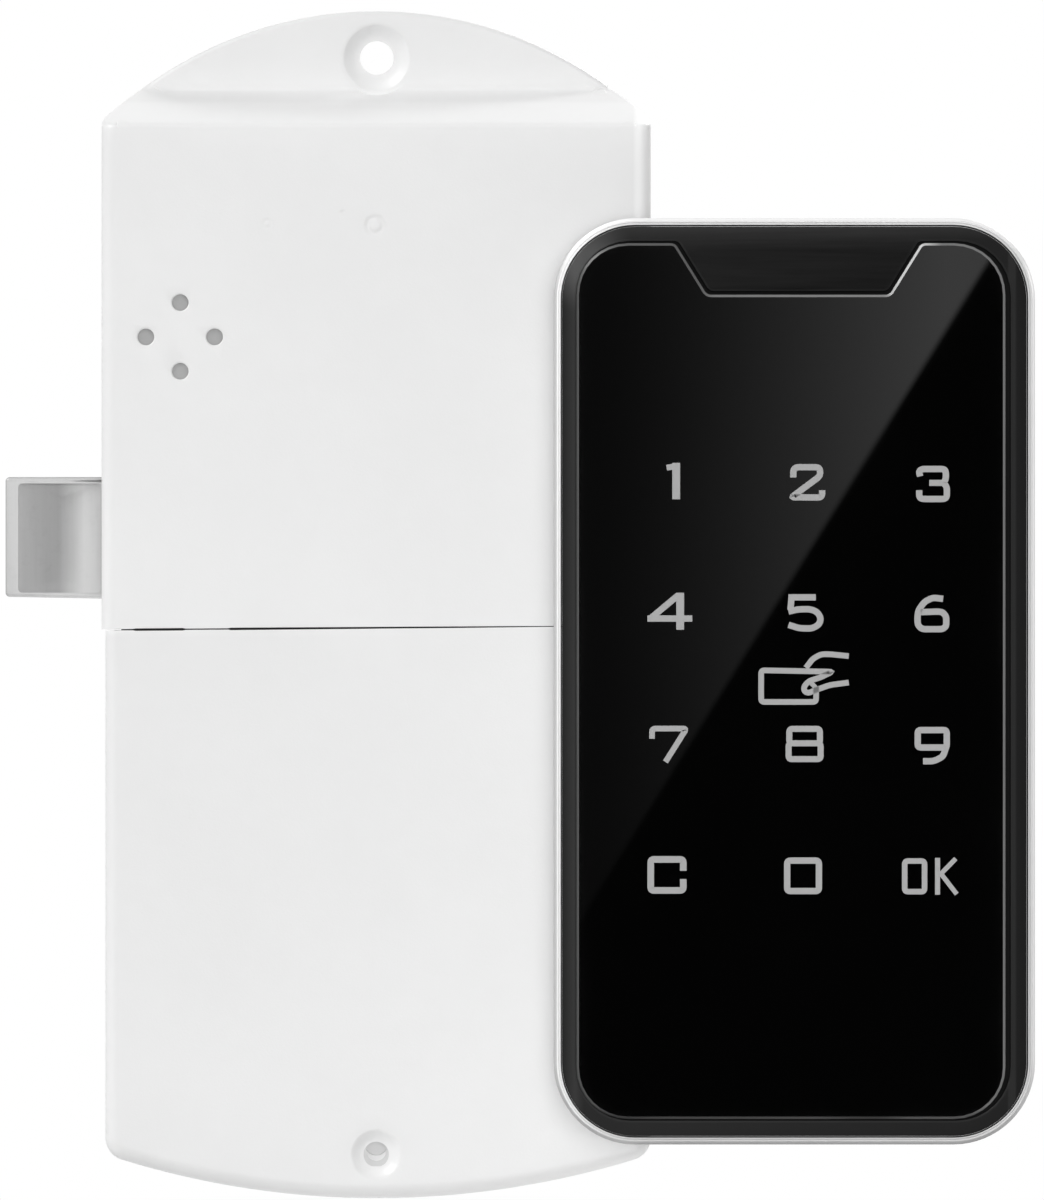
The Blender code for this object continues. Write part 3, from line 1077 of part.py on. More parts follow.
def make_panel_bezel():
    inset = FRAME_RIM + SEAT_GAP
    back = BACKPLATE_FRONT + SEAT_GAP
    bezel = slab("panel_bezel", panel_outline(inset), back, PANEL_FRONT - BEZEL_STEP)
    margin = (RECESS_HEIGHT - GLASS_HEIGHT) / 2 + SEAT_GAP
    recess = notched_outline(RECESS_WIDTH, RECESS_HEIGHT, RECESS_RADIUS, 0, margin)
    cut(bezel, slab("glass_recess", recess, LEDGE_FRONT, PANEL_FRONT + OVERRUN))
    width = RECESS_WIDTH - 2 * LEDGE
    height = RECESS_HEIGHT - 2 * LEDGE
    corner = RECESS_RADIUS - LEDGE
    hollow = rounded(width, height, corner, PANEL_X, PANEL_Z)
    cut(bezel, slab("bezel_hollow", hollow, back - OVERRUN, TOUCH_BOARD_FRONT + SEAT_GAP))
    window = notched_outline(width, height, corner, 0, margin - LEDGE)
    cut(bezel, slab("bezel_window", window, TOUCH_BOARD_FRONT - OVERRUN, LEDGE_FRONT + OVERRUN))
    boss_front = LEDGE_FRONT - ROOT
    for number, (side, rise) in enumerate(((-1, 1), (1, 1), (-1, -1), (1, -1)), 1):
        x = PANEL_X + side * PANEL_BOSS_X
        z = PANEL_Z + rise * PANEL_BOSS_Z
        join(bezel, rod(f"panel_boss_{number}", at(x, (back + boss_front) / 2, z), "Y", PANEL_BOSS_RADIUS,
                        boss_front - back, SMALL_STEPS))
        cut(bezel, rod(f"panel_pilot_{number}", at(x, back + (SCREW_LENGTH - OVERRUN) / 2, z), "Y",
                       SCREW_RADIUS + SEAT_GAP, SCREW_LENGTH + OVERRUN, SMALL_STEPS))
    paint(bezel, "bezel_black")


def make_touch_glass():
    outline = notched_outline(GLASS_WIDTH, GLASS_HEIGHT, GLASS_RADIUS, GLASS_SHIFT, 0)
    glass = slab("touch_glass", outline, GLASS_BACK, GLASS_FRONT)
    soften(glass, GLASS_CHAMFER, lambda p: near(-p.y, GLASS_FRONT), 1)
    paint(glass, "touch_glass")


def make_touch_electronics():
    """The legend film, the touch board, the card antenna, the lights, the chip and the socket."""
    width = RECESS_WIDTH - 2 * (LEDGE + SEAT_GAP)
    corner = RECESS_RADIUS - LEDGE - SEAT_GAP
    outline = rounded(width, TOUCH_BOARD_HEIGHT, corner, PANEL_X, PANEL_Z)
    paint(slab("legend_film", outline, FILM_BACK, LEDGE_FRONT), "legend_white")
    paint(slab("touch_board", outline, TOUCH_BOARD_BACK, TOUCH_BOARD_FRONT), "circuit_green")
    back = TOUCH_BOARD_BACK - SEAT_GAP
    ring = rounded(ANTENNA_WIDTH, ANTENNA_HEIGHT, corner, PANEL_X, PANEL_Z)
    hole = rounded(ANTENNA_WIDTH - 2 * ANTENNA_BAND, ANTENNA_HEIGHT - 2 * ANTENNA_BAND,
                   corner - ANTENNA_BAND, PANEL_X, PANEL_Z)
    paint(slab("card_antenna", ring, back - ANTENNA_DEPTH, back, hole), "antenna_copper")
    chip = block("touch_chip", PANEL_X - CHIP_SIZE / 2, PANEL_X + CHIP_SIZE / 2, back - CHIP_DEPTH, back,
                 PANEL_Z - PANEL_SOCKET_Z - CHIP_SIZE / 2, PANEL_Z - PANEL_SOCKET_Z + CHIP_SIZE / 2)
    paint(chip, "chip_black")
    front = TOUCH_BOARD_FRONT + SEAT_GAP
    for number, rise in enumerate((1, -1), 1):
        z = PANEL_Z + rise * LED_Z
        led = block(f"backlight_led_{number}", PANEL_X - LED_WIDTH / 2, PANEL_X + LED_WIDTH / 2, front,
                    front + LED_DEPTH, z - LED_HEIGHT / 2, z + LED_HEIGHT / 2)
        paint(led, "socket_white")
    make_socket("panel_socket", PANEL_X, PANEL_Z + PANEL_SOCKET_Z, SOCKET_WIDTH,
                BACKPLATE_FRONT + SEAT_GAP, back)


def make_panel_backplate():
    plate = slab("panel_backplate", panel_outline(FRAME_RIM + SEAT_GAP), BACKPLATE_BACK, BACKPLATE_FRONT)
    sunk = BACKPLATE_FRONT - ROOT
    post_front = TOUCH_BOARD_BACK - SEAT_GAP
    head_room = SCREW_HEAD_DEPTH + SEAT_GAP
    plate_middle = (BACKPLATE_BACK + BACKPLATE_FRONT) / 2
    for number, (side, rise) in enumerate(((-1, 1), (1, 1), (-1, -1), (1, -1)), 1):
        x = PANEL_X + side * BOARD_POST_X
        z = PANEL_Z + rise * BOARD_POST_Z
        join(plate, rod(f"touch_board_post_{number}", at(x, (sunk + post_front) / 2, z), "Y", POST_RADIUS,
                        post_front - sunk, SMALL_STEPS))
        x = PANEL_X + side * PANEL_BOSS_X
        z = PANEL_Z + rise * PANEL_BOSS_Z
        cut(plate, rod(f"plate_hole_{number}", at(x, plate_middle, z), "Y", SCREW_RADIUS + SEAT_GAP,
                       BACKPLATE_THICKNESS + 2 * OVERRUN, SMALL_STEPS))
        room_depth = BACKPLATE_BACK + (head_room - OVERRUN) / 2
        cut(plate, rod(f"plate_head_room_{number}", at(x, room_depth, z), "Y",
                       SCREW_HEAD_RADIUS + SEAT_GAP, head_room + OVERRUN, SMALL_STEPS))
        screw(f"backplate_screw_{number}", at(x, BACKPLATE_BACK + SCREW_HEAD_DEPTH, z), False)
    cut(plate, rod("bush_hole", at(PANEL_X, plate_middle, PANEL_Z), "Y", BUSH_HOLE_RADIUS,
                   BACKPLATE_THICKNESS + 2 * OVERRUN))
    for number, rise in enumerate((1, -1), 1):
        z = PANEL_Z + rise * PANEL_POST_SPACING / 2
        cut(plate, rod(f"stud_hole_{number}", at(PANEL_X, plate_middle, z), "Y",
                       PANEL_STUD_RADIUS + SEAT_GAP, BACKPLATE_THICKNESS + 2 * OVERRUN))
    paint(plate, "back_black")


def make_door_gasket():
    outer = panel_outline(GASKET_INSET)
    inner = panel_outline(GASKET_INSET + GASKET_WIDTH)
    paint(slab("door_gasket", outer, PANEL_BACK, PANEL_BACK + GASKET_THICKNESS, inner), "rubber_black")


def make_cable_bush():
    outer = BUSH_BORE + BUSH_WALL
    flange = outer + BUSH_FLANGE
    seat = BACKPLATE_FRONT + SEAT_GAP
    profile = [(BUSH_BORE, seat + BUSH_LIP), (flange, seat + BUSH_LIP), (flange, seat), (outer, seat),
               (outer, BACKPLATE_BACK - BUSH_LENGTH), (BUSH_BORE, BACKPLATE_BACK - BUSH_LENGTH)]
    paint(turned("cable_bush", profile, at(PANEL_X, 0, PANEL_Z), "Y"), "rubber_black")


def make_fixing_posts():
    shoulder = BACKPLATE_BACK - SEAT_GAP
    bore_end = PANEL_POST_BORE_LENGTH
    profile = [(0, shoulder + PANEL_STUD_LENGTH), (PANEL_STUD_RADIUS, shoulder + PANEL_STUD_LENGTH),
               (PANEL_STUD_RADIUS, shoulder), (PANEL_POST_RADIUS, shoulder), (PANEL_POST_RADIUS, 0),
               (PANEL_POST_BORE, 0), (PANEL_POST_BORE, bore_end), (0, bore_end)]
    for name, rise in (("fixing_post_upper", 1), ("fixing_post_lower", -1)):
        post = turned(name, profile, at(PANEL_X, 0, PANEL_Z + rise * PANEL_POST_SPACING / 2), "Y")
        paint(post, "post_brass")


make_base_plate()
make_upper_housing()
make_battery_cover()
make_bolt_tongue()
make_bolt_sled()
make_bolt_spring()
make_drive()
make_motor_bracket()
make_main_board()
make_set_key()
make_buzzer()
make_grommet()
make_cells()
make_housing_screws()
make_panel_frame()
make_panel_bezel()
make_touch_glass()
make_touch_electronics()
make_panel_backplate()
make_door_gasket()
make_cable_bush()
make_fixing_posts()
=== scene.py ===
"""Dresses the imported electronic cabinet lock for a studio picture.

A white case with a zinc bolt stands beside a black touch panel in a metal frame. Sizes here are in
millimetres: x to the right, z up, and depth from the door towards the viewer, so y is minus depth.
"""
import math

import bpy
import numpy as np
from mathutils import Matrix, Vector
from mathutils.geometry import delaunay_2d_cdt


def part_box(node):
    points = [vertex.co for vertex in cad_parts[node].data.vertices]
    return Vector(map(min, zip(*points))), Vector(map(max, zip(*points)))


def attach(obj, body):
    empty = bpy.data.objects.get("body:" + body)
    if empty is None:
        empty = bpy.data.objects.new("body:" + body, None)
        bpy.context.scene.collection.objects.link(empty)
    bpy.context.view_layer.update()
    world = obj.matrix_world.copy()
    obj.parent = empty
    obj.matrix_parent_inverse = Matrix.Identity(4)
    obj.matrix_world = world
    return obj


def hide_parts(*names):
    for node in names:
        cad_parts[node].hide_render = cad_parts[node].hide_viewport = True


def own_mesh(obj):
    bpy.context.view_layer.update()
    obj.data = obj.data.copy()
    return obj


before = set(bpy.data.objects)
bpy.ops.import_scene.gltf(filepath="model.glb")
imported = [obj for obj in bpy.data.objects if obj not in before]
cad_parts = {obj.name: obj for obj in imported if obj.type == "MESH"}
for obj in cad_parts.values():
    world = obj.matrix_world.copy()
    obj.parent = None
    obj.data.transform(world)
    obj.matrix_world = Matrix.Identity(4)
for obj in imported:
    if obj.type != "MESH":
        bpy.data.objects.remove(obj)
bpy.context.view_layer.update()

bl_info = {
    "name": "Cabinet lock dressing",
    "version": (1, 0, 0),
    "blender": (4, 5, 0),
    "location": "View3D > Sidebar > Cabinet Lock",
    "description": "Builds the visible skins, finishes and studio of an electronic cabinet lock",
    "category": "Object",
}

MM = 0.001


def node_box(name):
    """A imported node's left, right, back, front, bottom and top, in millimetres."""
    low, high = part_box(name)
    return tuple(v / MM for v in (low.x, high.x, -high.y, -low.y, low.z, high.z))


# ---- Outlines: arrays of x and z, counterclockwise seen from the front ----

def unit(vectors):
    """Each vector divided by its length."""
    return vectors / np.linalg.norm(vectors, axis=1)[:, None]


def arc(centre, radius, start, end, count):
    """Points at equal angles: centre + radius * (cos angle, sin angle)."""
    angle = np.linspace(start, end, count)
    return np.asarray(centre) + radius * np.column_stack([np.cos(angle), np.sin(angle)])


def round_corners(corners, radii, inset=0.0, steps=9):
    """A polygon drawn in by inset, with an arc for each corner.

    The arc's centre lies on the corner's bisector at radius / sin(half the corner's angle), and its
    points turn evenly from the touching point of one side to that of the other. Drawn in, a convex
    corner's radius shrinks by the inset and a hollow corner's grows by it.
    """
    corners = np.asarray(corners, float)
    radius = np.broadcast_to(np.asarray(radii, float), len(corners))[:, None]
    back = unit(np.roll(corners, 1, 0) - corners)
    ahead = unit(np.roll(corners, -1, 0) - corners)
    bisector = unit(back + ahead)
    cosine = np.sum(back * bisector, 1)[:, None]
    sine = np.sqrt(1 - cosine ** 2)
    convex = np.sign(ahead[:, 0] * back[:, 1] - ahead[:, 1] * back[:, 0])[:, None]
    centre = corners + bisector * radius / sine
    first = corners + back * radius * cosine / sine - centre
    last = corners + ahead * radius * cosine / sine - centre
    turn = (math.pi - 2 * np.arccos(np.clip(cosine, -1, 1)))[:, :, None]
    share = np.linspace(0, 1, steps)[None, :, None]
    spread = np.sin((1 - share) * turn) * first[:, None] + np.sin(share * turn) * last[:, None]
    scale = ((radius - convex * inset) / radius)[:, :, None]
    return (centre[:, None] + spread / np.sin(turn) * scale).reshape(-1, 2)


def circle(centre, radius, count=64):
    """Points round a circle."""
    return arc(centre, radius, 0, math.tau, count + 1)[:-1]


def rectangle(centre, width, height):
    """The four corners of an upright rectangle."""
    x, z = centre
    return np.array([(x + width / 2, z - height / 2), (x + width / 2, z + height / 2),
                     (x - width / 2, z + height / 2), (x - width / 2, z - height / 2)])


def inward(points):
    """Unit normals to the left of the way along a closed outline, from each point's neighbours."""
    along = unit(np.roll(points, -1, 0) - np.roll(points, 1, 0))
    return np.column_stack([-along[:, 1], along[:, 0]])


def inside(points, outline):
    """True where a point lies in the outline: a ray to the right crosses it an odd number of times."""
    x, z = points[:, 0][:, None], points[:, 1][:, None]
    x1, z1 = outline.T
    x2, z2 = np.roll(outline, -1, 0).T
    crosses = (z1 > z) != (z2 > z)
    with np.errstate(divide="ignore", invalid="ignore"):
        at = x1 + (z - z1) / (z2 - z1) * (x2 - x1)
    return (crosses & (x < at)).sum(1) % 2 == 1


# ---- Skins: closed surfaces gathered from loops ----

class Skin:
    """A closed skin of loops of points, the bands between them and the flats that close them."""

    def __init__(self):
        self.points = np.empty((0, 3))
        self.faces = []

    def flat(self, numbers):
        """The x and z of the points of these numbers."""
        return self.points[numbers][..., [0, 2]]

    def loop(self, flat, depth):
        """Adds points at x, z and the given depth, and returns their numbers."""
        first = len(self.points)
        depth = np.broadcast_to(np.asarray(depth, float), len(flat))
        self.points = np.vstack([self.points, np.column_stack([flat[:, 0], -depth, flat[:, 1]])])
        return np.arange(first, len(self.points))

    def bands(self, loops):
        """Quads from each loop to the next; they face outwards when the first lies behind."""
        for first, second in zip(loops, loops[1:]):
            quads = np.column_stack([first, np.roll(first, -1), np.roll(second, -1), second])
            self.faces += quads.tolist()

    def lid(self, loop, front):
        """One flat face over a loop, facing the viewer or the door."""
        self.faces.append((loop if front else loop[::-1]).tolist())

    def close(self, loops, ring=False):
        """Bands through a row of loops, then flat ends, or in a ring a band back to the first."""
        self.bands([*loops, loops[0]] if ring else loops)
        if not ring:
            self.lid(loops[0], False)
            self.lid(loops[-1], True)
        return self

    def field(self, border, grid, height, margin=0.3, holes=(), front=True):
        """Triangles over the border less the holes, with extra points at grid: depth = height(x, z).

        Grid points nearer than margin to a loop, or outside the border, are left out.
        """
        def covered(places):
            keep = inside(places, self.flat(border))
            for hole in holes:
                keep &= ~inside(places, self.flat(hole))
            return keep

        loops = [border, *holes]
        edge = np.concatenate(loops)
        grid = grid[covered(grid)]
        gap = np.linalg.norm(grid[:, None] - self.flat(edge)[None], axis=2).min(1)
        grid = grid[gap > margin]
        number = np.concatenate([edge, self.loop(grid, height(*grid.T))])
        lines, start = [], 0
        for loop in loops:
            run = np.arange(start, start + len(loop))
            lines += np.column_stack([run, np.roll(run, -1)]).tolist()
            start += len(loop)
        spots = [Vector(spot) for spot in self.flat(number).tolist()]
        result = delaunay_2d_cdt(spots, lines, [], 1, 1e-7, True)
        sources = np.array([ids[0] for ids in result[3]])
        triangles = number[sources][np.array(result[2])]
        corner = self.flat(triangles)
        one, two = corner[:, 1] - corner[:, 0], corner[:, 2] - corner[:, 0]
        area = one[:, 0] * two[:, 1] - one[:, 1] * two[:, 0]
        keep = covered(corner.mean(1))
        keep &= np.abs(area) > 1e-6 * np.maximum((one ** 2).sum(1), (two ** 2).sum(1))
        against = (area > 0) != front
        triangles[against] = triangles[against][:, ::-1]
        self.faces += triangles[keep].tolist()

    def add(self, other):
        """Adds another skin's points and faces."""
        shift = len(self.points)
        self.points = np.vstack([self.points, other.points])
        self.faces += [[corner + shift for corner in face] for face in other.faces]


def stack(levels, ring=False):
    """A closed skin over a row of outlines at their depths, from back to front or in a ring."""
    skin = Skin()
    return skin.close([skin.loop(outline, depth) for outline, depth in levels], ring)


def prism(outline, back, front):
    """An outline carried from one depth to another, with flat ends."""
    return stack([(outline, back), (outline, front)])


def turned(centre, profile, count):
    """A profile of radius and depth, from back to front, turned round an axis towards the viewer."""
    return stack([(circle(centre, radius, count), depth) for radius, depth in profile])


def lattice(xs, zs):
    """Every pair of an x and a z."""
    return np.stack(np.meshgrid(xs, zs), -1).reshape(-1, 2)


def level(depth):
    """A height for a field that is the same all over."""
    return lambda x, z: np.full(np.shape(x), depth)


def plain_object(name, skin):
    """A mesh object from a skin, at the origin, in metres."""
    mesh = bpy.data.meshes.new(name)
    mesh.from_pydata((skin.points * MM).tolist(), [], skin.faces)
    mesh.validate()
    obj = bpy.data.objects.new(name, mesh)
    bpy.context.scene.collection.objects.link(obj)
    return obj


def carve(obj, cuts=(), joins=()):
    """Adds the joined skins to the object, then takes the cut ones away, and keeps the result."""
    tools = []
    for operation, skins in (("UNION", joins), ("DIFFERENCE", cuts)):
        for skin in skins:
            tools.append(plain_object(obj.name + "_tool", skin))
            step = obj.modifiers.new(operation, "BOOLEAN")
            step.operation, step.solver, step.object = operation, "EXACT", tools[-1]
    graph = bpy.context.evaluated_depsgraph_get()
    mesh = bpy.data.meshes.new_from_object(obj.evaluated_get(graph))
    obj.modifiers.clear()
    obj.data = mesh
    for tool in tools:
        bpy.data.objects.remove(tool)


def finish_piece(obj, finish, replaced=(), body="lock_frame", slot=None, sharp=32):
    """Gives a piece its finish, sharp edges and body, and hides the nodes that it stands for.

    The slot is not used.
    """
    slot = slot or finish
    obj.data.materials.clear()
    obj.data.materials.append(FINISH[finish])
    obj.data.shade_smooth()
    obj.data.set_sharp_from_angle(angle=math.radians(sharp))
    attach(obj, body)
    if replaced:
        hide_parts(*replaced)


# ---- Finishes: node maths written as expressions ----

class Number:
    """A number socket that takes part in arithmetic."""

    def __init__(self, wiring, socket):
        self.wiring, self.socket = wiring, socket

    def math(self, operation, *values):
        """A Math node on the values, which may be numbers or sockets."""
        node = self.wiring.node("ShaderNodeMath", {"operation": operation}, dict(enumerate(values)))
        return Number(self.wiring, node.outputs[0])

    def __add__(self, other):
        return self.math("ADD", self, other)

    def __sub__(self, other):
        return self.math("SUBTRACT", self, other)

    def __rsub__(self, other):
        return self.math("SUBTRACT", other, self)

    def __mul__(self, other):
        return self.math("MULTIPLY", self, other)

    def __truediv__(self, other):
        return self.math("DIVIDE", self, other)

    __radd__, __rmul__ = __add__, __mul__

    def larger(self, other):
        """The larger of two numbers."""
        return self.math("MAXIMUM", self, other)

    def clamp(self):
        """The number held between nought and one."""
        return self.math("MINIMUM", self.larger(0.0), 1.0)

    def step(self, start, end):
        """Nought before start, one after end, and a straight rise between."""
        return ((self - start) / (end - start)).clamp()

    def within(self, low, high, soft=0.1):
        """One between low and high, and nought outside, over a soft edge."""
        return self.step(low - soft, low) * (1 - self.step(high, high + soft))


class Wiring:
    """A node tree being wired up."""

    def __init__(self, tree):
        self.tree = tree
        tree.nodes.clear()

    def node(self, kind, settings=None, values=None):
        """Adds a node: its settings first, then the values or links of its sockets."""
        node = self.tree.nodes.new(kind)
        for name, value in (settings or {}).items():
            setattr(node, name, value)
        for name, value in (values or {}).items():
            socket = node.inputs[name.replace("_", " ") if isinstance(name, str) else name]
            if isinstance(value, Number):
                value = value.socket
            if isinstance(value, bpy.types.NodeSocket):
                self.tree.links.new(value, socket)
            elif socket.type == "RGBA":
                socket.default_value = (*value, 1.0)
            else:
                socket.default_value = value
        return node

    def ray(self, kind):
        """One for rays of this kind, such as Is Camera Ray, and nought for others."""
        return Number(self, self.node("ShaderNodeLightPath").outputs[kind])


class Finish(Wiring):
    """A material being wired up, around one Principled shader."""

    def __init__(self, name, **constants):
        self.material = bpy.data.materials.new(name)
        self.material.use_nodes = True
        super().__init__(self.material.node_tree)
        self.shader = self.node("ShaderNodeBsdfPrincipled", {}, constants)
        self.out = self.node("ShaderNodeOutputMaterial", {}, {"Surface": self.shader.outputs[0]})
        self.place = self.node("ShaderNodeTexCoord").outputs["Object"]

    def axes(self):
        """The object's x, depth and z in millimetres, as numbers."""
        split = self.node("ShaderNodeSeparateXYZ", {}, {0: self.place})
        x, y, z = (Number(self, socket) for socket in split.outputs)
        return x / MM, y / -MM, z / MM

    def noise(self, scale, detail=3.0, roughness=0.55, stretch=(1, 1, 1)):
        """Noise of about nought to one on the object's own coordinates; scale is per metre."""
        where = self.node("ShaderNodeMapping", {"vector_type": "POINT"},
                          {"Vector": self.place, "Scale": stretch})
        node = self.node("ShaderNodeTexNoise", {"noise_dimensions": "3D"}, {
            "Vector": where.outputs[0], "Scale": scale, "Detail": detail, "Roughness": roughness})
        return Number(self, node.outputs[0])

    def blend(self, first, second, share):
        """A colour between two, by share."""
        mix = self.node("ShaderNodeMix", {"data_type": "RGBA"}, {0: share, 6: first, 7: second})
        return mix.outputs[2]

    def bump(self, height, distance):
        """A Bump node: height is a number, distance in metres."""
        return self.node("ShaderNodeBump", {}, {"Distance": distance, "Height": height}).outputs[0]

    def shine(self, colour, strength, share):
        """Mixes the shader with light of its own, by share, at the material's output."""
        glow = self.node("ShaderNodeEmission", {}, {"Color": colour, "Strength": strength})
        mix = self.node("ShaderNodeMixShader", {}, {
            0: share, 1: self.shader.outputs[0], 2: glow.outputs[0]})
        self.tree.links.new(mix.outputs[0], self.out.inputs["Surface"])

    def done(self, colour, share=None, **links):
        """Links the colour, darkened to a share of itself, and what else varies: the material."""
        links["Base_Color"] = colour if share is None else self.blend(BLACK, colour, share)
        for name, value in links.items():
            socket = value.socket if isinstance(value, Number) else value
            self.tree.links.new(socket, self.shader.inputs[name.replace("_", " ")])
        return self.material

    def moulded(self, colour, share, roughness, cloud, grain):
        """Moulded plastic: faint clouds of colour, a fine grain in the skin and an even sheen."""
        clouds = self.noise(45.0, 2.0).step(0.3, 0.7)
        return self.done(colour, share - clouds * cloud,
                         Roughness=roughness + (self.noise(420.0) - 0.5) * 0.12,
                         Normal=self.bump(self.noise(3800.0, 2.0), grain))


BLACK = (0.0, 0.0, 0.0)
FINISH = {}  # each finish by its name, once the first step has made them

# spans in millimetres over which the finishes change, most of them bounding painted light and shade: x
# across, z up, or depth
EDGE_X, EDGE_Z, SLOPE_Z, FLANGE_Z = (33.4, 34.4), (46.0, 50.0), (62.4, 65.4), (65.2, 66.4)
SEAM_X, SEAM_Z, SEAM_DEPTH = (-34.0, 34.0), (-3.9, -2.1), (26.5, 26.9)
WELL_X, WELL_Z, WELL_DEPTH = (-1.6, 1.6), (-73.0, -69.0), (25.4, 25.9)
COVER_X, COVER_Z = (-33.0, 22.0), (-4.2, -3.4)
HOLLOW_SHADE_X, HOLLOW_SHADE_Z, NEAR_TIP_X, FAR_THIRD_X = (-46.9, -35.8), (1.4, 16.0), (-46.4, -42.5), (-41.6, -38.2)
RIM_HEAD_Z, RIM_FOOT_Z, FRAME_HEAD_Z = (16.0, 16.4), (0.9, 1.5), (45.0, 49.5)
TONGUE_X, TONGUE_Z, TONGUE_HEAD_Z = (40.0, 70.0), (40.2, 40.6), (46.0, 47.6)
RIM_X, RIM_Z, RIM_EDGE_X = (24.0, 84.0), (47.5, 49.0), (27.0, 82.0)
LEFT_RISE_X, LEFT_END_X, RIGHT_X, RIGHT_END_X = (24.3, 26.0), (25.8, 27.0), (82.2, 83.0), (83.0, 83.4)
CORNER_HIGHLIGHT_X, CORNER_HIGHLIGHT_Z, CORNER_HIGHLIGHT_SQUARED = 27.4, 44.4, (2.0, 48.0)
NOTCH_X, NOTCH_Z, NOTCH_RIGHT_X = (44.0, 71.5), (39.8, 40.1), (66.0, 68.0)
GROUND_X, GROUND_FOOT_Z = (45.0, 80.0), (-66.3, -65.0)


def grey(tone):
    """A grey of the given tone."""
    return tone, tone, tone


def plastic(name, colour, roughness, cloud=0.02, grain=0.00001, specular=0.5):
    """Plain moulded plastic."""
    finish = Finish(name, IOR=1.5, Specular_IOR_Level=specular)
    return finish.moulded(colour, 1, roughness, cloud, grain)


def white_case(colour):
    """White moulded plastic, with painted light beside the panel's head and on the slope, and painted shade
    in the seam, in the screw well, on the flange and across the left of the cover.
    """
    finish = Finish("white_case", IOR=1.5)
    x, depth, z = finish.axes()
    # painted light: the case's right edge near the head, and the slope, are lightened
    pale = x.step(*EDGE_X) * z.step(*EDGE_Z) + z.within(*SLOPE_Z, 0.4) * 0.2
    # painted shade: the walls inside the seam and the screw well are darkened, and so are the flange and the
    # left of the cover; 0.01 darkens all evenly
    seam = z.within(*SEAM_Z) * x.within(*SEAM_X) * (1 - depth.step(*SEAM_DEPTH))
    well = z.within(*WELL_Z) * x.within(*WELL_X) * (1 - depth.step(*WELL_DEPTH))
    cover = (1 - z.step(*COVER_Z)) * (1 - x.step(*COVER_X))
    painted_shade = z.step(*FLANGE_Z) * 0.02 + seam * 0.85 + well * 0.65 + cover * 0.04 + 0.01
    colour = finish.blend(colour, grey(0.97), pale.clamp())
    return finish.moulded(colour, 1 - painted_shade, 0.42, 0.02, 0.00001)


def metal(name, colour, roughness, stretch=(1, 1, 1), scale=900.0):
    """Metal: streaks or grain of the given stretch in colour, gloss and surface."""
    finish = Finish(name, Metallic=1.0)
    streak = finish.noise(scale, 4.0, 0.6, stretch)
    cloud = finish.noise(70.0).step(0.35, 0.75)
    return finish.done(colour, 1 - (streak * 0.6 + cloud * 0.4) * 0.16,
                       Roughness=roughness + (streak - 0.5) * 0.2 + (cloud - 0.5) * 0.06,
                       Normal=finish.bump(streak, 0.000004))


def cast_zinc(colour):
    """Cast zinc: streaks run down it; painted shade darkens its hollow, but for the flat far third, and the
    foot is painted lighter and the head a little darker.
    """
    finish = Finish("cast_zinc", Metallic=1.0)
    x, depth, z = finish.axes()
    streak = finish.noise(1100.0, 4.0, 0.6, (1, 1, 0.03))
    spots = finish.noise(900.0)
    front = node_box("bolt_tongue")[3]
    # painted shade in the hollow: darker past the tip, lighter again in the flat far third
    hollow = (1 - depth.step(front - 0.4, front - 0.2)) * x.within(*HOLLOW_SHADE_X) * z.within(*HOLLOW_SHADE_Z)
    tone = 0.51 - x.step(*NEAR_TIP_X) * 0.055 + x.step(*FAR_THIRD_X) * 0.28
    # painted light and shade by height: the foot at full tone, the rest darker, the head a little more
    rim = 1.0 - z.step(*RIM_HEAD_Z) * 0.05 - z.step(*RIM_FOOT_Z) * 0.34
    share = rim + hollow * (tone - rim) - streak * 0.05 - spots.step(0.55, 0.8) * 0.03
    return finish.done(colour, share, Roughness=0.55 + (streak - 0.5) * 0.1,
                       Normal=finish.bump(streak + spots * 0.5, 0.000008))


def rolled_frame(colour):
    """Rolled metal, brushed, with painted shade in the groove, on the side, on all but the band at the left
    and on the outer bevel's left, and painted light on the bevel to the right and at the head.
    """
    finish = Finish("frame_silver", Metallic=1.0)
    x, depth, z = finish.axes()
    left, right, _, front, _, _ = node_box("panel_frame")
    low = front - FRAME_STEP
    bevel = depth.within(low - 0.36, low, 0.05)
    groove = depth.within(front - 0.14, front - 0.05, 0.01)
    side = 1 - depth.step(low - 0.6, low - 0.36)
    head = z.step(*FRAME_HEAD_Z)
    # painted shade on all but the band at the left
    aside = x.step(left + 2, left + 12) * (0.22 - head * 0.06)
    # on the outer bevel, painted shade at the left and painted light to the right and at the head
    outer = bevel * (0.14 - x.step(right - 8, right) * 0.26 - head * 0.40)
    brushed = finish.noise(700.0)
    # painted shade in the groove and on the side
    share = 0.72 - outer - groove * 0.08 - aside - side * 0.25 - brushed * 0.02
    return finish.done(colour, share, Roughness=0.48 + (brushed - 0.5) * 0.02)


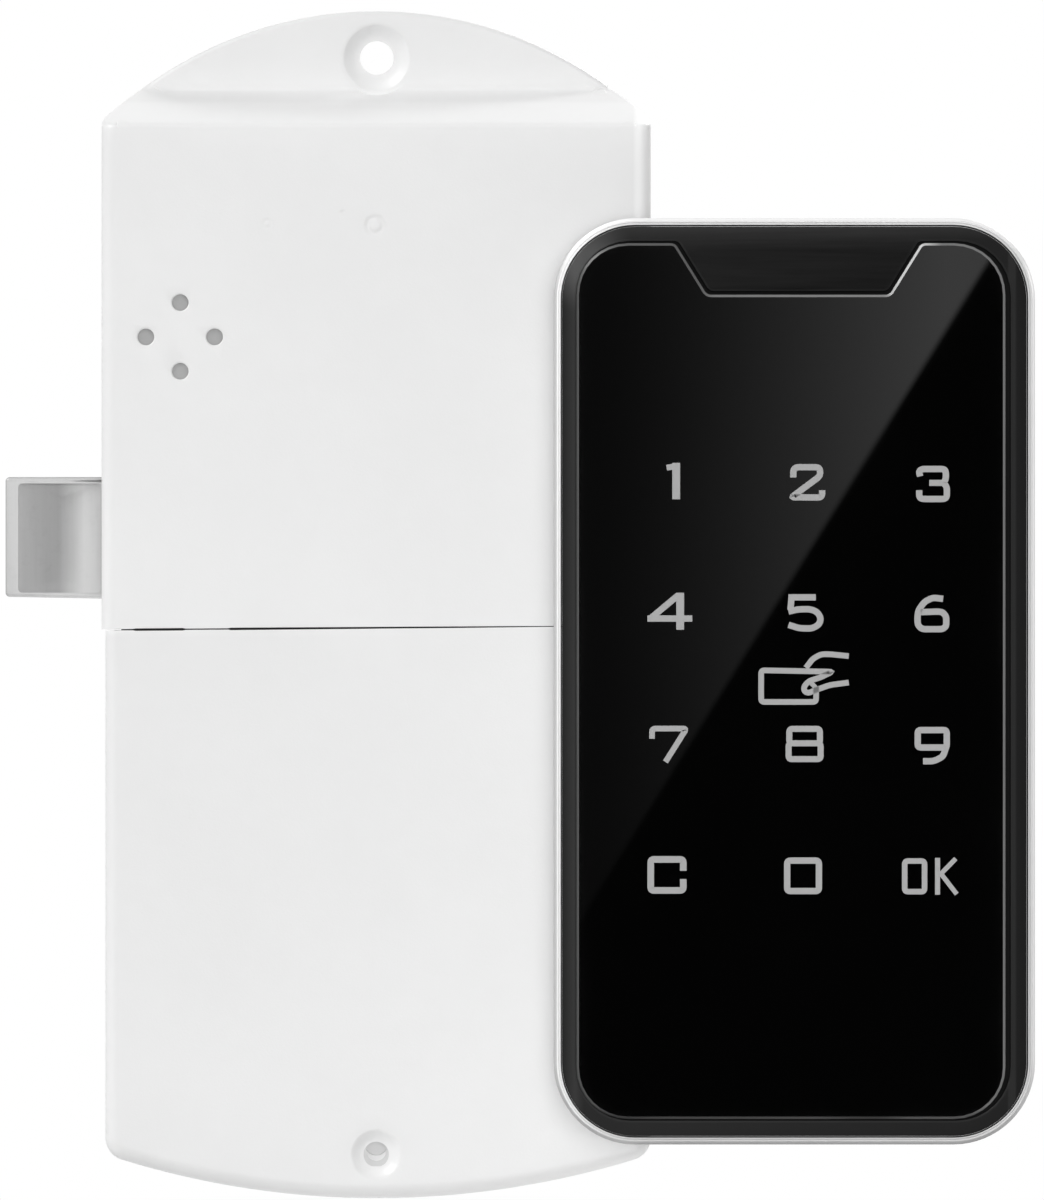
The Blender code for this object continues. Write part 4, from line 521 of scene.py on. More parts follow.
def black_bezel(colour):
    """Satin black, brushed across on the tongue, with painted light to the left, at the head, on the rim's
    rounded edge and in a highlight at the upper left corner, and painted shade to the right and deep in the
    recess.
    """
    finish = Finish("bezel_black", IOR=1.5, Specular_IOR_Level=0.05)
    x, depth, z = finish.axes()
    front = node_box("panel_bezel")[3]
    brush = finish.noise(1500.0, 3.0, 0.6, (0.04, 1, 1)) - 0.5
    tongue = z.step(*TONGUE_Z) * x.within(*TONGUE_X, 2.0)
    # a painted highlight on the rim's rounded edge
    edge = depth.within(front - 0.2, front - 0.02, 0.02) * x.within(*RIM_EDGE_X, 0.5)
    # painted light in a band at the left and a thin one at the right, and painted shade at the far left and
    # far right
    beside = (1 - x.step(*LEFT_END_X)) * (x.step(*LEFT_RISE_X) * 0.24 - 0.04)
    beside = beside + x.within(*RIGHT_X, 0.2) * 0.1 - x.step(*RIGHT_END_X) * 0.03
    # a painted highlight at the upper left corner, fading with the squared distance
    across, up = x - CORNER_HIGHLIGHT_X, z - CORNER_HIGHLIGHT_Z
    glow = 1 - (across * across + up * up).step(*CORNER_HIGHLIGHT_SQUARED)
    # painted shade towards the right and painted light at the head
    share = 0.20 - x.step(*RIM_X) * 0.09 + z.step(*RIM_Z) * 0.12 + edge * 0.1 + beside
    share = share + glow * glow * 0.7
    share = share - tongue * (1 - z.step(*TONGUE_HEAD_Z)) * 0.09 + tongue * brush * 0.18
    # painted shade deep in the recess and its gaps
    share = share * (0.25 + depth.step(front - 0.6, front - 0.3) * 0.75)
    return finish.done(colour, share.clamp(),
                       Roughness=0.38 + tongue * brush * 0.3 + finish.noise(600.0) * 0.06,
                       Normal=finish.bump(finish.noise(3200.0, 2.0), 0.000004))


def black_glass():
    """Black glass: a clean gloss in front, and a paler matt ground edge, lightest in the notch."""
    finish = Finish("touch_glass", IOR=1.5)
    x, depth, z = finish.axes()
    front = node_box("touch_glass")[3]
    edge = 1 - depth.step(front - 0.014, front - 0.005)
    notch = z.step(*NOTCH_Z) * x.within(*NOTCH_X, 2.0)
    broken = finish.noise(90.0, 2.0, 0.5).step(0.4, 0.6)
    foot = 1 - z.step(*GROUND_FOOT_Z)
    tone = 0.07 + x.step(*GROUND_X) * 0.08 + notch * (0.07 + x.step(*NOTCH_RIGHT_X) * 0.28)
    tone = tone * (1 - foot * (0.55 + broken * 0.35))
    return finish.done(grey(1.0), edge * tone,
                       Roughness=0.012 + edge * 0.35 + finish.noise(60.0, 2.0) * 0.012)


def circuit_board():
    """Green board: copper tracks under the lacquer as long low steps of noise."""
    board = Finish("circuit_green", IOR=1.5, Coat_Weight=0.3, Coat_Roughness=0.2)
    tracks = board.noise(900.0, 1.0, 0.4, (1, 1, 0.25)).step(0.49, 0.52)
    return board.done(board.blend((0.012, 0.09, 0.04), (0.025, 0.16, 0.07), tracks),
                      Roughness=0.35 + tracks * 0.1, Normal=board.bump(tracks, 0.00002))


def cell_wrap():
    """A dry cell: a printed wrap between two bare steel ends."""
    cell = Finish("cell_wrap", IOR=1.5)
    x, _, z = cell.axes()
    sleeve = 0
    for number in range(1, 5):
        left, right, _, _, bottom, top = node_box(f"battery_cell_{number}")
        sleeve = sleeve + z.within(bottom + 0.8, top - 2.2) * x.within(left - 0.1, right + 0.1)
    return cell.done(cell.blend((0.62, 0.60, 0.56), (0.05, 0.20, 0.42), sleeve),
                     Metallic=1 - sleeve, Roughness=0.28 + cell.noise(500.0) * 0.1)


def finishes(colours):
    """Every finish of the lock; but for seat_painted_shade, each is named after the slot that it dresses."""
    brass = tuple(colours.brass)
    plastics = {
        "base_plastic": (grey(0.74), 0.5, 0.03), "sled_plastic": (grey(0.60), 0.45, 0.04),
        # the buzzer's grey is set low as painted shade in the sound holes in front of it
        "socket_white": ((0.78, 0.76, 0.70), 0.4), "buzzer_grey": (grey(0.34), 0.5, 0.08),
        "back_black": (grey(0.028), 0.55, 0.2, 0.00003), "chip_black": (grey(0.02), 0.5, 0.2),
        "rubber_black": (grey(0.02), 0.75, 0.3, 0.00003, 0.3), "seat_painted_shade": (grey(0.58), 0.5),
        "legend_white": (tuple(colours.sign_grey), 0.5, 0.05)}
    metals = {
        "spring_steel": (grey(0.55), 0.3), "motor_steel": (grey(0.56), 0.3, (1, 1, 0.1)),
        "gear_brass": (brass, 0.32), "post_brass": (brass, 0.28, (1, 0.15, 1), 1200.0),
        "nickel_plate": ((0.66, 0.62, 0.56), 0.25), "antenna_copper": ((0.72, 0.36, 0.20), 0.35)}
    made = {name: plastic(name, *values) for name, values in plastics.items()}
    made.update({name: metal(name, *values) for name, values in metals.items()})
    made.update(white_case=white_case(tuple(colours.case_white)), cast_zinc=cast_zinc(tuple(colours.zinc)),
                frame_silver=rolled_frame(tuple(colours.frame_silver)), touch_glass=black_glass(),
                bezel_black=black_bezel(tuple(colours.bezel_black)), circuit_green=circuit_board(),
                cell_wrap=cell_wrap())
    return made


# ---- The case ----

CASE_HALF, CASE_TOP, CASE_FRONT, CASE_INSIDE = 35.75, 77.6, 27.0, 25.0
TOP_ARC, SHOULDER = 51.5, 2.3
FLANGE, SLOPE_LOW, SLOPE_HIGH = 3.0, 62.8, 67.2
COVER_HALF, COVER_RIGHT, COVER_OPEN, CASE_BOTTOM = 35.25, 35.75, 2.0, -77.2
BOTTOM_ARC, BOTTOM_CORNER = 112.0, 3.0
SIDE_FOOT, SIDE_HEAD, SLOPE_FOOT, ARC_FOOT, COVER_SIDE_HEAD = -2.0, 59, 60, 69.0, -3.7
WALL, OVERRUN, BITE = 2.0, 1.0, 0.2
HOUSING_XS, COVER_XS, COVER_ZS = np.arange(-34, 34.1, 2.0), np.arange(-33, 33.1, 3.0), np.arange(-75, -4, 3.0)
HOUSING_ZS = np.concatenate([np.arange(-1, 61, 2.5), np.arange(61.5, 68.6, 0.2), np.arange(69, 77, 1.0)])

SEAM_LEVEL, SEAM_LEAN = -2.96, 0.0077
SEAM_STOPS = (
    (-36, 0.4), (-31.7, 0.52), (-31.3, 0.95), (-25.2, 1.0), (-24.8, 0.5), (-19.3, 0.5), (-18.9, 0.98),
    (-10, 0.84), (3, 0.66), (10, 0.6), (16, 0.5), (22, 0.32), (36, 0.25))
STRIP, STRIP_SIZE, STRIP_BACK, STRIP_FRONT = (0, -3.1), (66.4, 3.0), 24.76, 24.94
MOULD_MARKS = (
    (-0.13, 49.4, 1.0, 0.35, 0.10), (-4.4, 51.1, 0.0, 0.3, 0.08), (-14.1, 49.6, 0.5, 0.25, 0.05))

FIXING_HOLE, FIXING_RADIUS, FIXING_FLOOR = (0, 71.5), 2.2, 2.1
FIXING_RIM = ((4.28, 2.95), (4.42, 2.98), (4.62, 3.0), (4.9, 3.02), (4.9, 9.0))
SCREW_HOLE, SCREW_RADIUS, SCREW_BACK, SCREW_FLOOR = (0, -71.5), 1.65, 25.7, 26.25
SCREW_RIM = ((3.12, 26.93), (3.27, 26.985), (3.45, 27.01), (3.45, 28.0))
PASSAGE, PASSAGE_RADIUS = (0, -71.05), 1.3
SEAT, SEAT_PROFILE = (0, -70.15), ((1.3, 24.72), (1.5, 24.8), (1.45, 24.95))

SOUND_PROFILE = ((1.08, 20.0), (1.08, 26.82), (1.12, 26.93), (1.22, 26.99), (1.3, 27.01), (1.3, 28.0))
BUZZER, SOUND_REACH = (-25.5, 34.9), 4.47
BUZZER_CLEAR, BUZZER_RING, BUZZER_BACK, BUZZER_RING_BACK = 6.8, 7.7, 20.0, 21.4
BOSSES = ((-30.0, 56.0), (30.0, 56.0), (-30.0, 24.0), (30.0, 2.0))
BOSS_RADIUS, BOSS_BACK, PILOT_RADIUS, PILOT_FRONT = 2.75, 2.7, 1.2, 9.7
CAVITY_HALF, CAVITY_TOP, CAVITY_FOOT, CAVITY_CORNER = 33.75, 60.8, -10, 1.0
MOUTH, MOUTH_SIZE, MOUTH_BACK, MOUTH_FRONT, MOUTH_CORNER = (-35, 8.8), (6, 16.4), 2.0, 12.7, 0.3
RAIL_X, RAIL_Z, RAIL_SIZE, RAIL_BACK, RAIL_FRONT = 32.63, -34.2, (1.65, 50.4), 3.7, 5.2


def rise(t, roundness=0.07):
    """A ramp from nought to one with rounded ends: (1 + hypot(t, r) - hypot(t - 1, r)) / 2."""
    return (1 + np.hypot(t, roundness) - np.hypot(t - 1, roundness)) / 2


def up_slope(z):
    """The share of the way from the flange to the face: a rounded ramp down the steep slope."""
    return rise((SLOPE_HIGH - z) / (SLOPE_HIGH - SLOPE_LOW))


def housing_height(x, z):
    """The upper case's depth: the flange, the steep slope down to the face, and the moulding marks.

    A mark is a ring exp(-((distance - radius) / width)^2) of shallow depth.
    """
    depth = FLANGE + (CASE_FRONT - FLANGE) * up_slope(z)
    for mark_x, mark_z, radius, width, sink in MOULD_MARKS:
        distance = np.hypot(x - mark_x, z - mark_z)
        depth = depth - sink * np.exp(-((distance - radius) / width) ** 2)
    return depth


def case_skin(outline, seam_count, side, radius, seam_round, height, spots, margin):
    """A case's skin: flat at the door, a wall, a rounded edge and the face over the spots.

    The edge's loop i stands at outline + shift * (1 - cos a), at depth height - radius * (1 - sin a),
    for a from 0 to 90 degrees. The shift is the radius inwards, or the small one at the seam. The last
    loop lies a little further in, so that the face's shading stays flat.
    """
    shift = inward(outline) * radius[:, None]
    shift[:seam_count] = (0, side * seam_round)
    shift[0] = (-np.sign(outline[0, 0]) * radius[0], side * seam_round)
    shift[seam_count - 1] = shift[0] * (-1, 1)
    drop = radius.copy()
    drop[1:seam_count - 1] = seam_round
    skin = Skin()
    loops = [skin.loop(outline, 0.0)]
    levels = [(1 - math.cos(a), 1 - math.sin(a)) for a in np.linspace(0, math.pi / 2, 9)]
    for inset, fall in [*levels, (1.12, 0)]:
        flat = outline + shift * inset
        loops.append(skin.loop(flat, height(*flat.T) - drop * fall))
    skin.bands(loops)
    skin.lid(loops[0], False)
    skin.field(loops[-1], spots, height, margin)
    return skin


def seam_edge(side, half, gap):
    """Points from left to right along one side of the parting line between case and cover.

    The line leans a little, and the gap at x is read between the stops, as a share of the widest.
    """
    place, share = np.array(SEAM_STOPS).T
    x = np.unique(np.concatenate([np.linspace(-half + 2.3, half - 2.3, 33), place[1:-1]]))
    x = np.concatenate([[-half], x, [half]])
    return np.column_stack([x, SEAM_LEVEL + SEAM_LEAN * x + side * gap / 2 * np.interp(x, place, share)])


def housing_outline(gap):
    """The upper case: the parting line, straight sides, small shoulders and one wide arc."""
    shoulder_x = CASE_HALF - SHOULDER
    middle = CASE_TOP - TOP_ARC
    shoulder_z = middle + math.sqrt((TOP_ARC - SHOULDER) ** 2 - shoulder_x ** 2)
    turn = math.atan2(shoulder_z - middle, shoulder_x)
    near = math.asin((ARC_FOOT - middle) / TOP_ARC)
    side = np.concatenate([np.linspace(SIDE_FOOT, SIDE_HEAD, 10),
                           np.linspace(SLOPE_FOOT, shoulder_z, 8)[:-1]])
    half = np.vstack([np.column_stack([np.full(len(side), CASE_HALF), side]),
                      arc((shoulder_x, shoulder_z), SHOULDER, 0, turn, 10),
                      arc((0, middle), TOP_ARC, turn, near, 24)[1:]])
    top = arc((0, middle), TOP_ARC, near, math.pi - near, 60)[1:-1]
    edge = seam_edge(1, CASE_HALF, gap)
    return np.vstack([edge, half, top, half[::-1] * (-1, 1)]), len(edge)


def cover_outline(gap):
    """The battery cover: the parting line, straight sides, rounded corners and one shallow arc."""
    across = COVER_HALF - BOTTOM_CORNER
    middle = CASE_BOTTOM + BOTTOM_ARC
    drop = math.sqrt((BOTTOM_ARC - BOTTOM_CORNER) ** 2 - across ** 2)
    turn = math.atan2(drop, across)
    side = np.linspace(COVER_SIDE_HEAD, middle - drop, 10)[:-1]
    left = np.vstack([np.column_stack([np.full(len(side), -COVER_HALF), side]),
                      arc((-across, middle - drop), BOTTOM_CORNER, math.pi, math.pi + turn, 12)])
    bottom = arc((0, middle), BOTTOM_ARC, math.pi + turn, math.tau - turn, 60)[1:-1]
    edge = seam_edge(-1, COVER_HALF, gap)[::-1]
    outline = np.vstack([edge, left, bottom, left[::-1] * (-1, 1)])
    outline[:, 0] *= np.where(outline[:, 0] > 0, COVER_RIGHT / COVER_HALF, 1.0)
    return outline, len(edge)


def around(x, z, reach, step=0.14):
    """A small square lattice about a place."""
    line = np.arange(-reach, reach + step / 2, step)
    return lattice(line + x, line + z)


def dish(radius, spread, depth, climb, power, last, count):
    """The profile of a dished hole: radius + spread * s at depth + climb * s^power."""
    return [(radius + spread * s, depth + climb * s ** power) for s in np.linspace(0.1, last, count)]


class LOCK_OT_upper_case(bpy.types.Operator):
    """Builds the upper case: flange, slope, face, holes, cavity and screw bosses"""
    bl_idname = "lock.upper_case"
    bl_label = "Upper case"

    def execute(self, context):
        sizes = context.scene.lock_sizes
        outline, seam_count = housing_outline(sizes.seam_gap / MM)
        low, high = sizes.flange_edge / MM, sizes.face_edge / MM
        radius = low + (high - low) * up_slope(outline[:, 1])
        marks = [around(x, z, ring + 2.6 * width) for x, z, ring, width, _ in MOULD_MARKS]
        spots = np.vstack([lattice(HOUSING_XS, HOUSING_ZS), *marks])
        case = plain_object("upper_case", case_skin(
            outline, seam_count, 1, radius, sizes.seam_edge / MM, housing_height, spots, 0.1))
        self.hollow(case)
        finish_piece(case, "white_case", ["upper_housing"])
        return {"FINISHED"}

    def hollow(self, case):
        """Cuts the dished fixing hole, the sound holes, the cavity and the bolt's mouth, and adds bosses."""
        fixing = [(FIXING_RADIUS, -OVERRUN), (FIXING_RADIUS, FIXING_FLOOR),
                  *dish(FIXING_RADIUS, 2.1, FIXING_FLOOR, 0.88, 1.9, 0.95, 10), *FIXING_RIM]
        cavity = round_corners([(CAVITY_HALF, CAVITY_FOOT), (CAVITY_HALF, CAVITY_TOP),
                                (-CAVITY_HALF, CAVITY_TOP), (-CAVITY_HALF, CAVITY_FOOT)], CAVITY_CORNER)
        mouth = round_corners(rectangle(MOUTH, *MOUTH_SIZE), MOUTH_CORNER)
        carve(case, [turned(FIXING_HOLE, fixing, 72), prism(cavity, -2 * OVERRUN, CASE_INSIDE),
                     prism(mouth, MOUTH_BACK, MOUTH_FRONT)])
        inner = CASE_INSIDE + BITE
        sounds = [turned(spot, SOUND_PROFILE, 48) for spot in circle(BUZZER, SOUND_REACH, 4)]
        carve(case, [*(prism(circle(place, PILOT_RADIUS, 24), 0.0, PILOT_FRONT) for place in BOSSES), *sounds,
                     prism(circle(BUZZER, BUZZER_CLEAR), BUZZER_BACK, CASE_INSIDE)],
              [*(prism(circle(place, BOSS_RADIUS, 40), BOSS_BACK, inner) for place in BOSSES),
               prism(circle(BUZZER, BUZZER_RING), BUZZER_RING_BACK, inner)])


class LOCK_OT_battery_cover(bpy.types.Operator):
    """Builds the battery cover with its hollow, rails and sunk hole, and behind it the seat, painted darker
    as shade, and a black strip for the shade in the seam
    """
    bl_idname = "lock.battery_cover"
    bl_label = "Battery cover"

    def execute(self, context):
        sizes = context.scene.lock_sizes
        outline, seam_count = cover_outline(sizes.seam_gap / MM)
        radius = np.full(len(outline), sizes.face_edge / MM)
        cover = plain_object("battery_lid", case_skin(
            outline, seam_count, -1, radius, sizes.seam_edge / MM, level(CASE_FRONT),
            lattice(COVER_XS, COVER_ZS), 0.4))
        sunk = [(SCREW_RADIUS, SCREW_BACK), (SCREW_RADIUS, SCREW_FLOOR),
                *dish(SCREW_RADIUS, 1.5, SCREW_FLOOR, 0.75, 1.6, 0.9, 8), *SCREW_RIM]
        wall = outline[seam_count:]
        hollow = wall + inward(wall) * WALL
        hollow[0], hollow[-1] = (WALL - COVER_HALF, COVER_OPEN), (COVER_HALF - WALL, COVER_OPEN)
        carve(cover, [prism(hollow, -2 * OVERRUN, CASE_INSIDE), turned(SCREW_HOLE, sunk, 60),
                      prism(circle(PASSAGE, PASSAGE_RADIUS), CASE_INSIDE - OVERRUN, CASE_INSIDE + OVERRUN)])
        carve(cover, (), [prism(rectangle((side * RAIL_X, RAIL_Z), *RAIL_SIZE), RAIL_BACK, RAIL_FRONT)
                          for side in (-1, 1)])
        finish_piece(cover, "white_case", ["battery_cover"], "battery_cover")
        # the seat seen through the screw hole is painted darker than the base plastic: painted shade
        finish_piece(plain_object("screw_seat", turned(SEAT, SEAT_PROFILE, 48)), "seat_painted_shade",
                     slot="base_plastic")
        # a black strip behind the seam: a dark piece put there for the shade inside the seam
        strip = prism(rectangle(STRIP, *STRIP_SIZE), STRIP_BACK, STRIP_FRONT)
        finish_piece(plain_object("seam_shade_strip", strip), "rubber_black")
        return {"FINISHED"}


# ---- The bolt ----

SHOULDER_X, NOSE_TOP, NOSE_TIP, NOSE_FOOT, NOSE_CORNER = -28, 16.7, 1.08, 0.68, 0.55
HOLLOW_X, HOLLOW_Z = (-46.74, -36.0), (1.62, 15.86)
HOLLOW_STEP, HOLLOW_CORNER, RAMP_END, RAMP_ROUND = 0.4, 0.5, -38.6, 0.10
GROOVE, GROOVE_DEPTH = ((-35.0, 15.99), (-35.0, 16.36), (-40.3, 16.19)), 4.0
COIL_WIRE, COIL_TURNS, COIL_SHORTEST = 0.4, 6, 0.31


def coil(box, wire, turns, sides=8, steps=20):
    """A round wire wound along x: its centre turns at a steady radius while x grows with the turn."""
    left, right, back, front, bottom, top = box
    turn = np.linspace(0, turns * math.tau, turns * steps + 1)
    away, along = circle(((top - bottom) / 2 - wire, 0), wire, sides).T
    return stack([(np.column_stack([x + along, (bottom + top) / 2 + away * math.sin(a)]),
                   (back + front) / 2 + away * math.cos(a))
                  for x, a in zip(np.linspace(left + wire, right - wire, len(turn)), turn)])


class LOCK_OT_bolt(bpy.types.Operator):
    """Builds the zinc bolt with its hollowed face and groove, and the coil behind it"""
    bl_idname = "lock.bolt"
    bl_label = "Bolt"

    def execute(self, context):
        left, right, back, front, bottom, top = node_box("bolt_tongue")
        corners = [(right, bottom), (right, top), (SHOULDER_X, top), (SHOULDER_X, NOSE_TOP),
                   (left, NOSE_TOP), (left, NOSE_TIP), (SHOULDER_X, NOSE_FOOT), (SHOULDER_X, bottom)]
        levels = ((0.2, back), (0.06, back + 0.06), (0.0, back + 0.2), (0.0, front - 0.4),
                  (0.04, front - 0.2), (0.15, front - 0.07), (0.32, front - 0.01), (0.45, front))
        bolt = plain_object("bolt_head", stack([
            (round_corners(corners, NOSE_CORNER, inset), depth) for inset, depth in levels]))
        groove = prism(np.array(GROOVE), front - GROOVE_DEPTH, front + OVERRUN)
        carve(bolt, [self.hollow(front, context.scene.lock_sizes.hollow_depth / MM), groove])
        finish_piece(bolt, "cast_zinc", ["bolt_tongue"], "bolt_tongue", sharp=24)
        box = node_box("bolt_spring")
        spring = plain_object("bolt_coil", coil(box, COIL_WIRE, COIL_TURNS))
        finish_piece(spring, "spring_steel", ["bolt_spring"], "bolt_sled")
        anchor = Vector((box[1], -(box[2] + box[3]) / 2, (box[4] + box[5]) / 2)) * MM
        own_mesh(spring)
        return {"FINISHED"}

    def hollow(self, front, deepest):
        """The tool that cuts the hollow, with round corners and a ramp for a floor.

        The floor's depth falls by a rounded ramp from the small step at the tip's rim to the deepest
        part, which runs on flat to the case.
        """
        def floor(x, _):
            share = rise((x - HOLLOW_X[0]) / (RAMP_END - HOLLOW_X[0]), RAMP_ROUND)
            return front - HOLLOW_STEP - (deepest - HOLLOW_STEP) * share

        low, high = np.transpose((HOLLOW_X, HOLLOW_Z))
        flat = round_corners(rectangle((low + high) / 2, *(high - low)), HOLLOW_CORNER)
        skin = Skin()
        loops = [skin.loop(flat, floor(*flat.T)), skin.loop(flat, front + OVERRUN)]
        skin.bands(loops)
        skin.lid(loops[1], True)
        spots = lattice(np.linspace(*HOLLOW_X, 48)[1:-1], np.linspace(*HOLLOW_Z, 9)[1:-1])
        skin.field(loops[0], spots, floor, 0.05, front=False)
        return skin


# ---- The touch panel ----

PANEL, PANEL_SIZE, PANEL_RADIUS = (54.35, -9.9), (62.5, 120.3), 10.6
RECESS_MIDDLE, RECESS_SIZE, RECESS_RADIUS = (54.225, -9.825), (56.45, 114.25), 7.0
GLASS_MIDDLE, GLASS_SIZE, GLASS_RADIUS = (53.9, -9.875), (55.7, 113.75), 6.7
NOTCH_MIDDLE, NOTCH_TOP, NOTCH_BOTTOM, NOTCH_FLOOR = 54.86, 32.0, 23.7, 40.3
NOTCH_GAP, NOTCH_CORNER, LEDGE, LEDGE_FRONT, BOARD_FRONT = 0.5, 1.0, 2.0, 38.5, 37.2
FRAME_STEP = 0.40
STUDS, STUD_RADIUS, STUD_PILOT = (46.8, 103.2), 2.3, 6
BEZEL_XS, BEZEL_ZS = np.arange(23, 86, 1.5), np.arange(-70, 51, 1.5)


def panel_levels(levels):
    """The panel's outline drawn in by each inset, with its depth."""
    return [(round_corners(rectangle(PANEL, *PANEL_SIZE), PANEL_RADIUS, inset, 17), depth)
            for inset, depth in levels]


def notched(centre, size, radius, margin, inset=0.0):
    """A rounded rectangle with a tapered notch in its top edge, drawn in by inset.

    The margin narrows the notch all round, as the gap beside the glass does.
    """
    top = centre[1] + size[1] / 2
    glass_top = GLASS_MIDDLE[1] + GLASS_SIZE[1] / 2
    lean = (NOTCH_TOP - NOTCH_BOTTOM) / 2 / (glass_top - NOTCH_FLOOR)
    floor = NOTCH_FLOOR + margin
    slant = math.hypot(1, lean) * margin
    low = NOTCH_BOTTOM / 2 + lean * margin - slant
    high = NOTCH_BOTTOM / 2 + lean * (top - NOTCH_FLOOR) - slant
    box = rectangle(centre, *size)
    notch = [(NOTCH_MIDDLE + high, top), (NOTCH_MIDDLE + low, floor), (NOTCH_MIDDLE - low, floor),
             (NOTCH_MIDDLE - high, top)]
    radii = [radius] * 2 + [NOTCH_CORNER] * 4 + [radius] * 2
    return round_corners(np.vstack([box[:2], notch, box[2:]]), radii, inset)


class LOCK_OT_panel_frame(bpy.types.Operator):
    """Builds the panel's metal frame: an outer bevel, two bands, a groove, and the black seal inside"""
    bl_idname = "lock.panel_frame"
    bl_label = "Panel frame"

    def execute(self, context):
        _, _, back, front, _, _ = node_box("panel_frame")
        bevel = context.scene.lock_sizes.frame_bevel / MM
        low = front - FRAME_STEP
        outside = [(0.2, back), (0.0, back + 0.2), (0.0, low - bevel), (0.02, low - bevel + 0.04),
                   (bevel - 0.02, low - 0.03), (bevel + 0.02, low), (bevel + 0.04, low + 0.02)]
        bands = [(bevel + inset, front - sink) for inset, sink in (
            (0.05, 0.06), (0.08, 0.015), (0.13, 0), (0.27, 0), (0.29, 0.01), (0.31, 0.07), (0.39, 0.07),
            (0.41, 0.01), (0.43, 0))]
        inside_wall = [(0.83, front), (0.88, front - 0.02), (0.90, front - 0.08), (0.90, back)]
        frame_skin = stack(panel_levels(outside + bands + inside_wall), ring=True)
        finish_piece(plain_object("metal_frame", frame_skin), "frame_silver", ["panel_frame"], sharp=28)
        bead = [(0.93, front - 1.6), (0.93, front - 1.2), (1.07, front - 1.2), (1.07, front - 1.6)]
        seal = plain_object("frame_seal", stack(panel_levels(bead), ring=True))
        finish_piece(seal, "rubber_black")
        return {"FINISHED"}


class LOCK_OT_panel_bezel(bpy.types.Operator):
    """Builds the black bezel: its flat rim, the tongue in the notch, the recess, the ledge and bosses"""
    bl_idname = "lock.panel_bezel"
    bl_label = "Panel bezel"

    def execute(self, context):
        _, _, back, front, _, _ = node_box("panel_bezel")
        rim = panel_levels(((1.1, back), (1.1, front - 0.14), (1.12, front - 0.06), (1.19, front - 0.01),
                            (1.27, front), (1.45, front)))
        size, radius = np.array(RECESS_SIZE) - 2 * LEDGE, RECESS_RADIUS - LEDGE
        window = notched(RECESS_MIDDLE, size, radius, NOTCH_GAP - LEDGE)
        hollow = round_corners(rectangle(RECESS_MIDDLE, *size), radius, -0.05)
        sinks = ((-0.35, 0), (-0.22, 0.01), (-0.09, 0.04), (-0.02, 0.1), (0.0, 0.18))
        recess = [(notched(RECESS_MIDDLE, RECESS_SIZE, RECESS_RADIUS, NOTCH_GAP, inset), depth)
                  for inset, depth in (*((inset, front - sink) for inset, sink in sinks), (0.0, LEDGE_FRONT))]
        recess += [(window, LEDGE_FRONT), (window, BOARD_FRONT)]
        skin = Skin()
        rows = []
        for levels in (rim, recess, [(hollow, BOARD_FRONT), (hollow, back)]):
            rows.append([skin.loop(outline, depth) for outline, depth in levels])
            skin.bands(rows[-1])
        outer, inner, pocket = rows
        spots = lattice(BEZEL_XS, BEZEL_ZS)
        skin.field(outer[-1], spots, level(front), holes=[inner[0]])
        skin.field(pocket[0], spots[:0], level(front), holes=[inner[-1]], front=False)
        skin.field(outer[0], spots[:0], level(front), holes=[pocket[1]], front=False)
        bezel = plain_object("black_bezel", skin)
        studs = rectangle(PANEL, *STUDS)
        pilots = [prism(circle(stud, PILOT_RADIUS, 24), back - OVERRUN, back + STUD_PILOT) for stud in studs]
        posts = [prism(circle(stud, STUD_RADIUS, 32), back, LEDGE_FRONT - BITE) for stud in studs]
        carve(bezel, pilots, posts)
        finish_piece(bezel, "bezel_black", ["panel_bezel"], sharp=30)
        return {"FINISHED"}


class LOCK_OT_touch_glass(bpy.types.Operator):
    """Builds the notched touch glass with its ground edge"""
    bl_idname = "lock.touch_glass"
    bl_label = "Touch glass"

    def execute(self, context):
        _, _, back, front, _, _ = node_box("touch_glass")
        ground = context.scene.lock_sizes.glass_edge / MM
        levels = ((0.0, back), (0.0, front - 0.16), (ground, front - 0.012), (ground + 0.03, front),
                  (ground + 0.2, front))
        glass = plain_object("glass_plate", stack([
            (notched(GLASS_MIDDLE, GLASS_SIZE, GLASS_RADIUS, 0, inset), depth) for inset, depth in levels]))
        finish_piece(glass, "touch_glass", ["touch_glass"], sharp=20)
        return {"FINISHED"}


# ---- The printed signs ----

PIXEL, MIDDLE_X, LEVEL_Z, PRINT_GAP = 0.13, 376.0, 1198.6, 0.002
